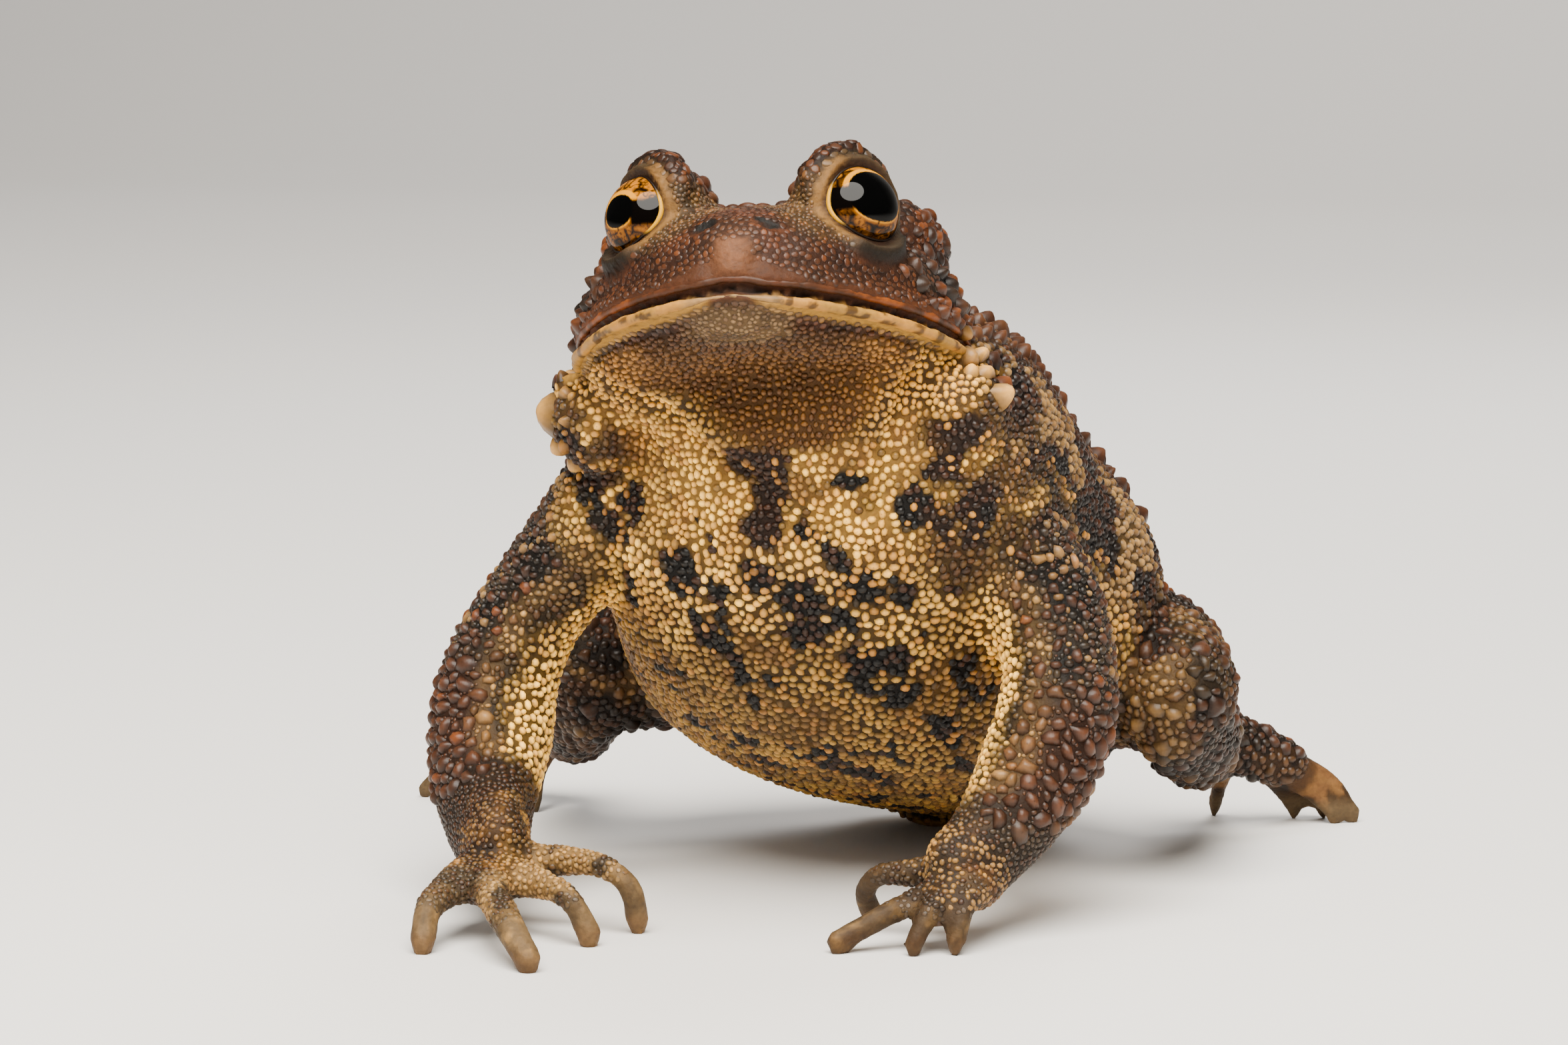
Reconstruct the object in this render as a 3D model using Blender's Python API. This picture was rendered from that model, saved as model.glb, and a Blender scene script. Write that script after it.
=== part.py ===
"""American toad sitting upright on its hands, life-size, facing -Y with +Z up.

Lengths are in millimetres while the forms are built, and the finished meshes are scaled to metres.
"""
import math

import bmesh
import bpy
import numpy as np
from mathutils import Matrix
from mathutils.kdtree import KDTree

MM_TO_M = 0.001
GAP = 0.3
FLOOR_PRESS = 0.5
TIP_DROP = 0.4
VOXEL = 0.6
LEG_VOXEL = 0.6
MEND_VOXEL = 0.4
ORIGIN_SHIFT = (5.637, -37.237, 0.0)

HEAD_PLACE = (2.9, 0.0, 57.6)
HEAD_PITCH = 18.0
HEAD_YAW = 8.0
HEAD_ROLL = 3.0

EYE_RADIUS = 3.95
EYE_PLACE = (7.7, 10.0, 8.9)
EYE_AXIS = (0.70, -0.70, 0.12)
LID_RADIUS = 5.0
EYE_PROUD = 1.8
LID_FORWARD = 2.0
LID_BEND = 4.7
# Upper lid roll: turn round the eye from its outer corner, roll radius.
LID_ROLL = ((-5, 0.6), (30, 0.9), (60, 1.6), (90, 1.9), (120, 1.8), (150, 1.5), (170, 1.0))

# Stations of the head from snout to nape: back, half width, height over the mouth line, depth under it.
HEAD_STATIONS = (
    (-0.6, 3.2, 4.6, 1.0),
    (0.4, 5.6, 6.6, 1.9),
    (2.2, 8.2, 8.0, 2.6),
    (5.0, 11.3, 9.2, 3.4),
    (9.0, 14.2, 10.3, 4.8),
    (14.0, 16.5, 11.2, 6.2),
    (19.0, 17.5, 11.8, 7.8),
    (24.0, 17.1, 12.2, 9.6),
    (29.0, 15.6, 12.0, 10.8),
    (33.0, 12.6, 10.6, 10.2),
)

# Torso: x, y, z, half width, half height, from the neck to the vent.
TORSO_STATIONS = (
    (1.6, 20.0, 49.0, 14.5, 11.5),
    (2.8, 25.5, 43.5, 20.2, 16.5),
    (2.8, 32.0, 37.5, 22.4, 19.2),
    (2.4, 40.0, 31.0, 24.0, 20.0),
    (2.8, 49.0, 25.0, 26.6, 19.0),
    (3.2, 58.0, 18.4, 24.0, 16.2),
    (3.4, 66.0, 11.8, 17.6, 11.4),
    (3.6, 71.0, 7.2, 11.0, 7.6),
)

# Arms: x, y, z, half width, half height, from inside the shoulder to the palm.
ARM_RIGHT = (
    (-11.0, 25.5, 41.0, 6.5, 7.5),
    (-15.8, 25.5, 37.0, 6.0, 6.6),
    (-21.0, 27.0, 31.3, 5.3, 5.8),
    (-25.4, 26.8, 25.6, 5.1, 5.5),
    (-27.6, 25.0, 20.0, 5.6, 5.7),
    (-27.6, 22.4, 14.7, 5.8, 5.6),
    (-26.6, 18.4, 10.8, 5.3, 4.8),
    (-24.6, 14.0, 8.2, 4.6, 3.8),
    (-22.4, 9.5, 6.4, 4.3, 3.0),
)
ARM_LEFT = (
    (11.0, 26.0, 40.0, 6.5, 7.5),
    (17.2, 26.5, 35.8, 6.2, 6.6),
    (22.2, 27.5, 30.0, 5.5, 5.9),
    (24.8, 26.5, 24.5, 5.2, 5.6),
    (25.3, 24.5, 19.4, 5.4, 5.7),
    (24.2, 22.0, 14.6, 5.3, 5.4),
    (22.7, 19.0, 10.9, 4.7, 4.5),
    (21.0, 16.5, 8.2, 4.2, 3.7),
    (19.6, 13.5, 6.4, 4.2, 3.0),
)

# Fingers and toes: x, y, z, radius.
FINGERS_RIGHT = (
    ((-21.0, 9.5, 5.6, 2.0), (-16.2, 10.0, 6.0, 1.6), (-12.0, 8.6, 6.0, 1.3), (-9.4, 8.4, 4.2, 1.3), (-9.0, 9.4, 1.4, 1.35)),
    ((-20.5, 6.5, 5.0, 2.2), (-16.0, 4.6, 4.8, 1.5), (-12.8, 2.4, 4.0, 1.3), (-11.2, 2.6, 1.4, 1.4)),
    ((-21.5, 4.5, 4.8, 2.4), (-18.6, -1.4, 4.6, 1.7), (-15.4, -6.4, 3.4, 1.6), (-12.6, -9.4, 1.5, 1.5)),
    ((-23.6, 6.0, 4.8, 2.4), (-24.0, 0.6, 4.4, 1.7), (-24.2, -2.8, 3.4, 1.5), (-24.0, -4.6, 1.4, 1.5)),
)
FINGERS_LEFT = (
    ((18.6, 15.5, 6.0, 2.0), (14.6, 14.6, 5.8, 1.5), (11.6, 14.6, 5.4, 1.25), (10.0, 16.0, 3.4, 1.25), (10.2, 18.0, 1.4, 1.3)),
    ((19.4, 12.5, 5.0, 2.2), (16.8, 10.6, 4.4, 1.5), (13.8, 8.2, 3.0, 1.35), (10.4, 6.0, 1.4, 1.3)),
    ((20.2, 12.0, 5.0, 2.2), (18.4, 8.6, 4.2, 1.5), (17.0, 6.8, 1.4, 1.4)),
    ((21.4, 13.5, 5.2, 2.2), (21.0, 9.6, 4.4, 1.6), (20.4, 8.2, 1.5, 1.5)),
)

# Hind limbs: x, y, z, half width, half height.
THIGH_LEFT = (
    (11.0, 60.0, 19.0, 8.5, 8.0),
    (20.0, 58.0, 19.5, 8.8, 8.4),
    (27.0, 53.0, 19.0, 7.8, 7.8),
    (31.0, 47.5, 18.0, 6.0, 6.4),
)
THIGH_RIGHT = (
    (-5.0, 60.0, 19.0, 8.5, 8.0),
    (-14.0, 57.5, 19.5, 8.8, 8.4),
    (-21.0, 52.0, 19.0, 7.8, 7.8),
    (-25.2, 46.5, 17.8, 6.0, 6.4),
)
SHANK_LEFT = (
    (31.0, 47.0, 15.4, 4.4, 4.6),
    (31.0, 53.0, 13.8, 4.8, 5.0),
    (30.0, 60.0, 11.8, 4.7, 4.9),
    (28.8, 67.0, 9.6, 3.9, 4.3),
    (28.0, 71.0, 9.0, 3.4, 3.7),
)
SHANK_RIGHT = (
    (-26.0, 46.5, 15.2, 4.4, 4.6),
    (-29.4, 52.0, 13.4, 4.8, 5.0),
    (-32.2, 58.5, 11.4, 4.7, 4.9),
    (-34.2, 64.0, 9.6, 3.9, 4.3),
    (-35.2, 67.0, 9.0, 3.4, 3.7),
)
FOOT_LEFT = (
    (27.4, 72.8, 9.4, 3.3, 3.5),
    (31.0, 76.4, 8.2, 3.0, 3.2),
    (34.8, 79.8, 6.2, 2.9, 2.5),
)
FOOT_RIGHT = (
    (-36.4, 68.6, 9.0, 3.3, 3.5),
    (-40.4, 69.6, 7.6, 3.0, 3.1),
    (-44.4, 69.6, 5.9, 2.9, 2.5),
)
TOES_LEFT = (
    ((29.6, 77.6, 6.8, 1.7), (28.2, 81.0, 3.8, 1.15), (27.2, 82.8, 1.2, 1.0)),
    ((32.6, 79.6, 6.0, 1.6), (34.2, 82.2, 3.0, 1.1), (35.2, 83.6, 1.2, 0.95)),
    ((34.6, 79.8, 5.4, 1.6), (37.6, 81.2, 3.0, 1.15), (39.6, 81.8, 1.2, 0.95)),
    ((35.2, 80.6, 5.8, 2.0), (38.8, 82.4, 4.0, 1.4), (41.4, 83.2, 1.2, 1.0)),
    ((34.6, 81.2, 5.2, 1.7), (36.8, 83.6, 2.8, 1.1), (38.0, 84.6, 1.2, 0.95)),
)

TOES_RIGHT = (
    ((-38.6, 68.0, 6.4, 1.7), (-38.8, 66.0, 3.6, 1.15), (-38.6, 64.8, 1.2, 1.0)),
    ((-42.0, 68.0, 5.8, 1.6), (-43.4, 66.4, 3.0, 1.1), (-44.2, 65.4, 1.2, 0.95)),
    ((-44.0, 68.6, 5.4, 1.6), (-46.8, 67.2, 3.0, 1.15), (-48.6, 66.2, 1.2, 0.95)),
    ((-44.8, 69.6, 5.6, 2.0), (-49.0, 70.0, 3.8, 1.4), (-52.6, 69.8, 1.2, 1.0)),
    ((-43.8, 70.8, 5.2, 1.7), (-47.2, 73.4, 2.8, 1.1), (-49.6, 75.2, 1.2, 0.95)),
)

# Rounded folds behind the jaw corners: middle, half sizes.
NECK_FOLDS = (
    ((-15.4, 20.0, 45.0), (5.2, 5.8, 5.6)),
    ((16.8, 20.0, 46.0), (5.2, 5.8, 5.6)),
)

NECK_CUT = ((0.0, 13.0, 45.2), (0.0, -0.60, 0.80), 34.0)
ELBOW_CUTS = {
    "right": ((-26.7, 26.0, 22.5), (-0.33, -0.25, -0.91), 9.0),
    "left": ((25.4, 25.2, 21.6), (0.10, -0.36, -0.93), 8.0),
}
WRIST_CUTS = {
    "right": ((-24.9, 15.8, 9.1), (0.25, -0.85, -0.45), 7.0),
    "left": ((21.6, 17.9, 9.2), (-0.33, -0.72, -0.60), 7.0),
}

SHOULDER_SLEEVE = 1.7

# Warts by node: radius, height, number, and how far apart they stand.
WART_LARGE, WART_MIDDLE, WART_SMALL = 1.5, 1.15, 0.9
WART_SIDES = 5
WART_SINK = 0.7
WART_CLEAR = 0.5
WART_SEED = 7
WARTS = {
    "head": ((WART_MIDDLE, 1.15, 10), (WART_SMALL, 0.9, 10)),
    "torso": ((WART_LARGE, 1.2, 18), (WART_MIDDLE, 1.0, 20), (WART_SMALL, 0.75, 6)),
    "upper_arm": ((WART_MIDDLE, 0.75, 5), (WART_SMALL, 0.6, 3)),
    "forearm": ((WART_MIDDLE, 0.75, 6), (WART_SMALL, 0.6, 3)),
    "thigh": ((WART_MIDDLE, 0.8, 5), (WART_SMALL, 0.6, 2)),
    "shank": ((WART_SMALL, 0.6, 4),),
}

WHOLE_TRIANGLES = 6500
LEG_TRIANGLES = {"thigh": 440, "shank": 400, "foot": 640}


def clear_scene():
    for obj in list(bpy.data.objects):
        bpy.data.objects.remove(obj, do_unlink=True)


def material(name, color, roughness, coat=0.0):
    made = bpy.data.materials.new(name)
    made.use_nodes = True
    shader = made.node_tree.nodes["Principled BSDF"]
    shader.inputs["Base Color"].default_value = (*color, 1.0)
    shader.inputs["Roughness"].default_value = roughness
    shader.inputs["Coat Weight"].default_value = coat
    made.diffuse_color = (*color, 1.0)
    return made


def new_object(name, points, faces):
    mesh = bpy.data.meshes.new(name)
    mesh.from_pydata([tuple(p) for p in points], [], [tuple(f) for f in faces])
    mesh.update()
    obj = bpy.data.objects.new(name, mesh)
    bpy.context.scene.collection.objects.link(obj)
    return obj


def remove(*objects):
    for obj in objects:
        bpy.data.objects.remove(obj, do_unlink=True)


def applied(obj):
    """Replaces the object's mesh by its evaluated one and clears the modifiers."""
    bpy.context.view_layer.update()
    graph = bpy.context.evaluated_depsgraph_get()
    mesh = bpy.data.meshes.new_from_object(obj.evaluated_get(graph))
    obj.modifiers.clear()
    obj.data = mesh
    return obj


def smooth_rows(rows, steps):
    """Catmull-Rom curve through the rows, all columns alike."""
    rows = np.array(rows, float)
    padded = np.vstack([2 * rows[0] - rows[1], rows, 2 * rows[-1] - rows[-2]])
    out = []
    for i in range(1, len(padded) - 2):
        a, b, c, d = padded[i - 1:i + 3]
        for t in np.arange(steps) / steps:
            out.append(0.5 * (2 * b + (c - a) * t + (2 * a - 5 * b + 4 * c - d) * t * t
                              + (3 * b - a - 3 * c + d) * t ** 3))
    out.append(rows[-1])
    return np.array(out)


def lowered(rows):
    """Finger or toe rows with the tip pressed a little into the floor."""
    return tuple((x, y, z - TIP_DROP if z < 2.0 else z, radius) for x, y, z, radius in rows)


def rings_to_mesh(rings):
    """Closed mesh through rings of equal size, the first and last closed by a fan round their middle."""
    count, sides = rings.shape[:2]
    points = np.vstack([rings.reshape(-1, 3), rings[0].mean(0), rings[-1].mean(0)])
    faces = []
    for i in range(count - 1):
        for j in range(sides):
            k = (j + 1) % sides
            faces.append((i * sides + j, i * sides + k, (i + 1) * sides + k, (i + 1) * sides + j))
    first, last = count * sides, count * sides + 1
    for j in range(sides):
        k = (j + 1) % sides
        faces.append((first, k, j))
        faces.append((last, (count - 1) * sides + j, (count - 1) * sides + k))
    return points, faces


def tube(rows, up=(0.0, 0.0, 1.0), sides=18, steps=4, power=2.0):
    """Limb-like form: an oval carried along the rows (x, y, z, half width, half height), with round ends."""
    rows = np.array(rows, float)
    if rows.shape[1] == 4:
        rows = np.hstack([rows, rows[:, 3:4]])
    path = smooth_rows(rows, steps)
    along = np.gradient(path[:, :3], axis=0)
    along /= np.linalg.norm(along, axis=1)[:, None]
    arc = np.linspace(0, math.pi / 2, 5)[1:]
    start, end = [], []
    for t in arc[::-1]:
        row = path[0].copy()
        row[:3] -= along[0] * min(row[3], row[4]) * math.sin(t)
        row[3:] *= max(math.cos(t), 0.05)
        start.append(row)
    for t in arc:
        row = path[-1].copy()
        row[:3] += along[-1] * min(row[3], row[4]) * math.sin(t)
        row[3:] *= max(math.cos(t), 0.05)
        end.append(row)
    path = np.vstack([start, path, end])
    along = np.vstack([[along[0]] * len(start), along, [along[-1]] * len(end)])
    side = np.cross(along, np.array(up))
    side /= np.linalg.norm(side, axis=1)[:, None]
    rise = np.cross(side, along)
    turn = np.linspace(0, 2 * math.pi, sides, endpoint=False)
    c, s = np.cos(turn), np.sin(turn)
    across = np.sign(c) * np.abs(c) ** (2 / power)
    upward = np.sign(s) * np.abs(s) ** (2 / power)
    rings = (path[:, None, :3] + side[:, None] * (path[:, 3, None] * across)[..., None]
             + rise[:, None] * (path[:, 4, None] * upward)[..., None])
    return rings_to_mesh(rings)


def ball(center, radii, segments=20, rings=12):
    rows = np.linspace(0, math.pi, rings + 1)[1:-1]
    turn = np.linspace(0, 2 * math.pi, segments, endpoint=False)
    body = np.stack([
        np.sin(rows)[:, None] * np.cos(turn), np.sin(rows)[:, None] * np.sin(turn),
        np.cos(rows)[:, None] * np.ones(segments)], -1)
    points, faces = rings_to_mesh(body[::-1])
    points[-2:] = (0, 0, -1), (0, 0, 1)
    return points * np.array(radii) + np.array(center), faces


def head_matrix():
    pitch = Matrix.Rotation(math.radians(-HEAD_PITCH), 4, "X")
    yaw = Matrix.Rotation(math.radians(HEAD_YAW), 4, "Z")
    roll = Matrix.Rotation(math.radians(-HEAD_ROLL), 4, "Y")
    place = Matrix.Translation(HEAD_PLACE)
    return np.array(place @ yaw @ roll @ pitch)


def to_world(points, matrix):
    return np.asarray(points) @ matrix[:3, :3].T + matrix[:3, 3]


def to_local(points, matrix):
    return (np.asarray(points) - matrix[:3, 3]) @ matrix[:3, :3]


def head_form():
    """Broad flat head: upper half over the mouth line, lower half under it, each its own oval."""
    rows = smooth_rows(HEAD_STATIONS, 4)
    turn = np.linspace(0, 2 * math.pi, 36, endpoint=False)
    c, s = np.cos(turn), np.sin(turn)
    across = np.sign(c) * np.abs(c) ** (2 / 2.5)
    upward = np.sign(s) * np.abs(s) ** (2 / 2.3)
    depth = np.where(s > 0, rows[:, 2, None], rows[:, 3, None])
    rings = np.stack([rows[:, 1, None] * across, np.broadcast_to(rows[:, 0, None], (len(rows), 36)),
                      depth * upward], -1)
    return rings_to_mesh(rings[::-1])


def joined(name, forms):
    points, faces, start = [], [], 0
    for form_points, form_faces in forms:
        points.append(form_points)
        faces.extend(tuple(i + start for i in face) for face in form_faces)
        start += len(form_points)
    return new_object(name, np.vstack(points), faces)


def fused(name, forms, voxel, smoothing):
    """One closed skin round all the forms."""
    obj = joined(name, forms)
    remesh = obj.modifiers.new("skin", "REMESH")
    remesh.mode = "VOXEL"
    remesh.voxel_size = voxel
    soften = obj.modifiers.new("soften", "SMOOTH")
    soften.factor = 0.5
    soften.iterations = smoothing
    return applied(obj)


def coords(obj):
    found = np.empty(len(obj.data.vertices) * 3)
    obj.data.vertices.foreach_get("co", found)
    return found.reshape(-1, 3)


def normals(obj):
    found = np.empty(len(obj.data.vertices) * 3)
    obj.data.vertex_normals.foreach_get("vector", found)
    return found.reshape(-1, 3)


def set_coords(obj, points):
    obj.data.vertices.foreach_set("co", np.ascontiguousarray(points).ravel())
    obj.data.update()


def flatten_floor(obj, reach):
    """Presses everything lower than the reach onto the floor, and eases what is just over it down."""
    points = coords(obj)
    z = points[:, 2]
    points[:, 2] = np.where(z < 2 * reach, np.maximum(z - reach, 0.0) * 2, z)
    set_coords(obj, points)


def bump(distance, width):
    return np.exp(-(distance / width) ** 2)


def mouth_height(u):
    """Height of the mouth line over the head's level plane, a small notch at the middle."""
    return 0.5 * bump(u, 2.2) - 0.0022 * u ** 2


def eye_center(side):
    return np.array(EYE_PLACE) * (side, 1, 1)


def eye_axis(side):
    axis = np.array(EYE_AXIS) * (side, 1, 1)
    return axis / np.linalg.norm(axis)


def lid_form(side, matrix):
    """Thick upper lid: a roll bent over the top of the eye."""
    axis = eye_axis(side)
    across = np.cross((0, 0, 1.0), axis)
    across *= side / np.linalg.norm(across)
    rise = np.cross(axis, across)
    rise *= np.sign(rise[2])
    rows = []
    for turn, size in LID_ROLL:
        t = math.radians(turn)
        place = eye_center(side) + axis * LID_FORWARD + (across * math.cos(t) + rise * math.sin(t)) * LID_BEND
        rows.append((*to_world([place], matrix)[0], size))
    return tube(rows, up=tuple(matrix[:3, :3] @ axis), sides=12)


def sculpt(obj, matrix):
    """Mouth line, lips, chin, nostrils, lids, crests, sunken throat and gular fold."""
    points = coords(obj)
    out = normals(obj)
    local = to_local(points, matrix)
    u, v, w = local.T
    front = (v < 24.5) & (np.abs(w) < 6)
    line = w - mouth_height(u)
    fade = np.clip((25.0 - v) / 3.0, 0, 1) * front
    shift = fade * (-0.95 * bump(line, 0.55) + 0.40 * bump(line - 1.5, 0.9) + 0.55 * bump(line + 1.5, 0.85))
    for side in (-1, 1):
        near = np.linalg.norm(local - (side * 2.7, 0.2, 6.4), axis=1)
        shift -= 0.9 * bump(near, 0.8)
        shift += 0.35 * bump(near - 1.5, 0.6)
    shift += 0.8 * bump(np.linalg.norm(local - (0, -0.6, 2.6), axis=1), 2.6)
    shift += 0.5 * bump(np.linalg.norm(local - (0, 2.0, -2.9), axis=1), 2.2)
    bowl = np.linalg.norm((local - (0, 11.0, -6.0)) / (8.5, 6.0, 5.0), axis=1)
    shift -= 1.5 * bump(bowl, 1.0) * (w < -1.0)
    fold = v - 17.5 + 0.016 * u ** 2
    shift -= 0.8 * bump(fold, 1.1) * (w < -3.0) * (np.abs(u) < 15)
    for side in (-1, 1):
        center, axis = eye_center(side), eye_axis(side)
        lid = center + axis * EYE_PROUD
        away = local - lid
        reach = away @ axis
        ring = np.linalg.norm(away - reach[:, None] * axis, axis=1)
        around = (np.linalg.norm(local - center, axis=1) < 7.0) & (reach > -1.5)
        upper = np.clip((w - lid[2] + 1.0) / 3.0, 0, 1)
        shift += around * bump(ring - 4.3, 0.8) * (0.25 + 0.75 * upper)
        shift -= around * bump(ring - 5.9, 0.7) * 0.45 * upper
    for side in (-1, 1):
        crest = np.abs(u * side - 4.9 - 0.05 * (v - 10))
        shift += 0.55 * bump(crest, 0.9) * np.clip((v - 5) / 3, 0, 1) * np.clip((21 - v) / 3, 0, 1) * (w > 7)
        across = np.abs(v - 16.2)
        reach = np.clip((u * side - 4.5) / 1.5, 0, 1) * np.clip((14.5 - u * side) / 2, 0, 1)
        shift += 0.5 * bump(across, 0.9) * reach * (w > 7)
    set_coords(obj, points + out * shift[:, None])


def slab(name, cut, thickness=GAP, sides=24):
    """Thin round disc across a limb."""
    place, axis, radius = np.array(cut[0]), np.array(cut[1], float), cut[2]
    axis /= np.linalg.norm(axis)
    side = np.cross(axis, (0.3, 1.0, 0.2))
    side /= np.linalg.norm(side)
    rise = np.cross(axis, side)
    turn = np.linspace(0, 2 * math.pi, sides, endpoint=False)
    circle = np.cos(turn)[:, None] * side + np.sin(turn)[:, None] * rise
    rings = np.stack([place - axis * thickness / 2 + circle * radius, place + axis * thickness / 2 + circle * radius])
    obj = new_object(name, *rings_to_mesh(rings))
    return outward(obj)


def outward(obj):
    """Turns the faces out where the volume reads negative."""
    mesh = obj.data
    mesh.calc_loop_triangles()
    points = coords(obj)
    corners = np.array([t.vertices[:] for t in mesh.loop_triangles])
    a, b, c = points[corners[:, 0]], points[corners[:, 1]], points[corners[:, 2]]
    if np.einsum("ij,ij->i", a, np.cross(b, c)).sum() < 0:
        mesh.flip_normals()
    return obj


def boolean(obj, other, operation, keep=False):
    modifier = obj.modifiers.new("cut", "BOOLEAN")
    modifier.operation = operation
    modifier.solver = "EXACT"
    modifier.object = other
    applied(obj)
    if not keep:
        remove(other)
    return obj


def copy_of(obj, name):
    made = bpy.data.objects.new(name, obj.data.copy())
    bpy.context.scene.collection.objects.link(made)
    return made


def grown(obj, name, distance):
    """Copy of the object with its surface moved out by the distance."""
    made = copy_of(obj, name)
    set_coords(made, coords(made) + normals(made) * distance)
    remesh = made.modifiers.new("skin", "REMESH")
    remesh.mode = "VOXEL"
    remesh.voxel_size = 0.6
    thin = made.modifiers.new("thin", "DECIMATE")
    thin.ratio = 0.35
    return applied(made)


def shells(obj):
    """Each connected piece of the mesh as a list of face indices with its volume."""
    mesh = obj.data
    parent = np.arange(len(mesh.vertices))

    def find(i):
        while parent[i] != i:
            parent[i] = parent[parent[i]]
            i = parent[i]
        return i

    for edge in mesh.edges:
        a, b = find(edge.vertices[0]), find(edge.vertices[1])
        if a != b:
            parent[a] = b
    roots = np.array([find(i) for i in range(len(parent))])
    return roots


def split(obj):
    """The object's separate closed pieces, each its own object."""
    roots = shells(obj)
    points = coords(obj)
    made = []
    polygons = [tuple(p.vertices) for p in obj.data.polygons]
    owner = np.array([roots[p[0]] for p in polygons])
    for root in np.unique(roots):
        chosen = [p for p, o in zip(polygons, owner) if o == root]
        if not chosen:
            continue
        used = np.unique([i for p in chosen for i in p])
        index = {int(old): new for new, old in enumerate(used)}
        piece = new_object(obj.name + "_piece", points[used], [tuple(index[i] for i in p) for p in chosen])
        piece["volume"] = volume(piece)
        made.append(piece)
    remove(obj)
    return sorted(made, key=lambda piece: -abs(piece["volume"]))


def volume(obj):
    mesh = obj.data
    mesh.calc_loop_triangles()
    points = coords(obj)
    corners = np.array([t.vertices[:] for t in mesh.loop_triangles])
    a, b, c = points[corners[:, 0]], points[corners[:, 1]], points[corners[:, 2]]
    return float(np.einsum("ij,ij->i", a, np.cross(b, c)).sum() / 6)


def largest(obj, name):
    pieces = split(obj)
    remove(*pieces[1:])
    pieces[0].name = name
    return pieces[0]


def wart(place, axis, radius, height, turn):
    """Five-sided pointed dome, its root sunk well into the skin."""
    side = np.cross(axis, (0.31, 0.52, 0.79))
    side /= np.linalg.norm(side)
    rise = np.cross(axis, side)
    around = turn + np.linspace(0, 2 * math.pi, WART_SIDES, endpoint=False)
    circle = np.cos(around)[:, None] * side + np.sin(around)[:, None] * rise
    rings = np.stack([place - axis * WART_SINK * radius + circle * radius,
                      place + axis * 0.55 * height + circle * radius * 0.72])
    points, faces = rings_to_mesh(rings)
    points[-1] = place + axis * height
    return points, faces


def wart_zone(family, points, out, matrix):
    """Where warts stand: the back, flanks and outer sides, never the belly, lids or lips."""
    if family == "head":
        u, v, w = to_local(points, matrix).T
        cheek = (np.abs(u) > 12.5) & (v > 12.0) & (v < 27.0) & (w > -5.0) & (w < 7.5) & (np.abs(w) > 1.3)
        crown = (np.abs(u) < 9.0) & (v > 18.0) & (w > 8.0)
        return cheek | crown
    if family == "torso":
        return (out[:, 2] > 0.05) & (points[:, 1] > 27.0) & (points[:, 2] > 12.0)
    middle = 0.0 if family in ("upper_arm", "forearm") else 3.0
    outer = out[:, 0] * np.sign(points[:, 0] - middle)
    return (outer > 0.15) & (out[:, 2] > -0.55)


def closed(obj):
    """Whether every edge joins just two faces."""
    ends = np.array([tuple(sorted(key)) for p in obj.data.polygons for key in p.edge_keys])
    return bool((np.unique(ends, axis=0, return_counts=True)[1] == 2).all())


def add_warts(obj, family, seed):
    """Fuses the node's warts onto it, clear of its neighbours and cut faces."""
    spots = np.random.default_rng(seed)
    points, out = coords(obj), normals(obj)
    neighbours = KDTree(sum(len(other.data.vertices) for other in bpy.context.scene.objects if other != obj))
    count = 0
    for other in bpy.context.scene.objects:
        if other != obj:
            for point in coords(other):
                neighbours.insert(point, count)
                count += 1
    neighbours.balance()
    order = spots.permutation(np.flatnonzero(wart_zone(family, points, out, head_place)))
    room = np.array([neighbours.find(points[i])[2] for i in order])
    made, placed = [], []
    for radius, height, number in WARTS[family]:
        left = number
        for i, space in zip(order, room):
            if left == 0:
                break
            if space < radius + WART_CLEAR + 0.6:
                continue
            if any(np.linalg.norm(points[i] - other) < radius + size + 0.25 for other, size in placed):
                continue
            placed.append((points[i], radius))
            made.append(wart(points[i], out[i], radius, height, spots.uniform(0, 1)))
            left -= 1
    group = bpy.data.collections.new("warts_" + obj.name)
    bpy.context.scene.collection.children.link(group)
    for form_points, form_faces in made:
        piece = outward(new_object("wart", form_points, form_faces))
        bpy.context.scene.collection.objects.unlink(piece)
        group.objects.link(piece)
    plain = obj.data.copy()
    for solver in ("EXACT", "MANIFOLD"):
        obj.data = plain.copy()
        union = obj.modifiers.new("warts", "BOOLEAN")
        union.operation = "UNION"
        union.solver = solver
        union.operand_type = "COLLECTION"
        union.collection = group
        applied(obj)
        if closed(obj):
            break
        print("not closed after", solver, obj.name)
    remove(*list(group.objects))
    bpy.data.collections.remove(group)
    return largest(obj, obj.name)


def mended(obj):
    """Joins points that a cut left all but touching, and gives a mesh that stays open a fresh skin."""
    if closed(obj):
        return obj
    work = bmesh.new()
    work.from_mesh(obj.data)
    bmesh.ops.remove_doubles(work, verts=work.verts, dist=0.002)
    bmesh.ops.dissolve_degenerate(work, edges=work.edges, dist=0.002)
    bmesh.ops.triangulate(work, faces=work.faces)
    work.to_mesh(obj.data)
    work.free()
    if not closed(obj):
        print("remeshed", obj.name)
        before = len(obj.data.polygons)
        remesh = obj.modifiers.new("skin", "REMESH")
        remesh.mode = "VOXEL"
        remesh.voxel_size = MEND_VOXEL
        applied(obj)
        thin = obj.modifiers.new("thin", "DECIMATE")
        thin.ratio = min(1.0, before / len(obj.data.polygons) / 2)
        applied(obj)
    return obj


def thinned(obj, triangles):
    mended(obj)
    obj.data.calc_loop_triangles()
    now = len(obj.data.loop_triangles)
    if now > triangles:
        shrink = obj.modifiers.new("thin", "DECIMATE")
        shrink.ratio = triangles / now
        applied(obj)
    return obj


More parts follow.
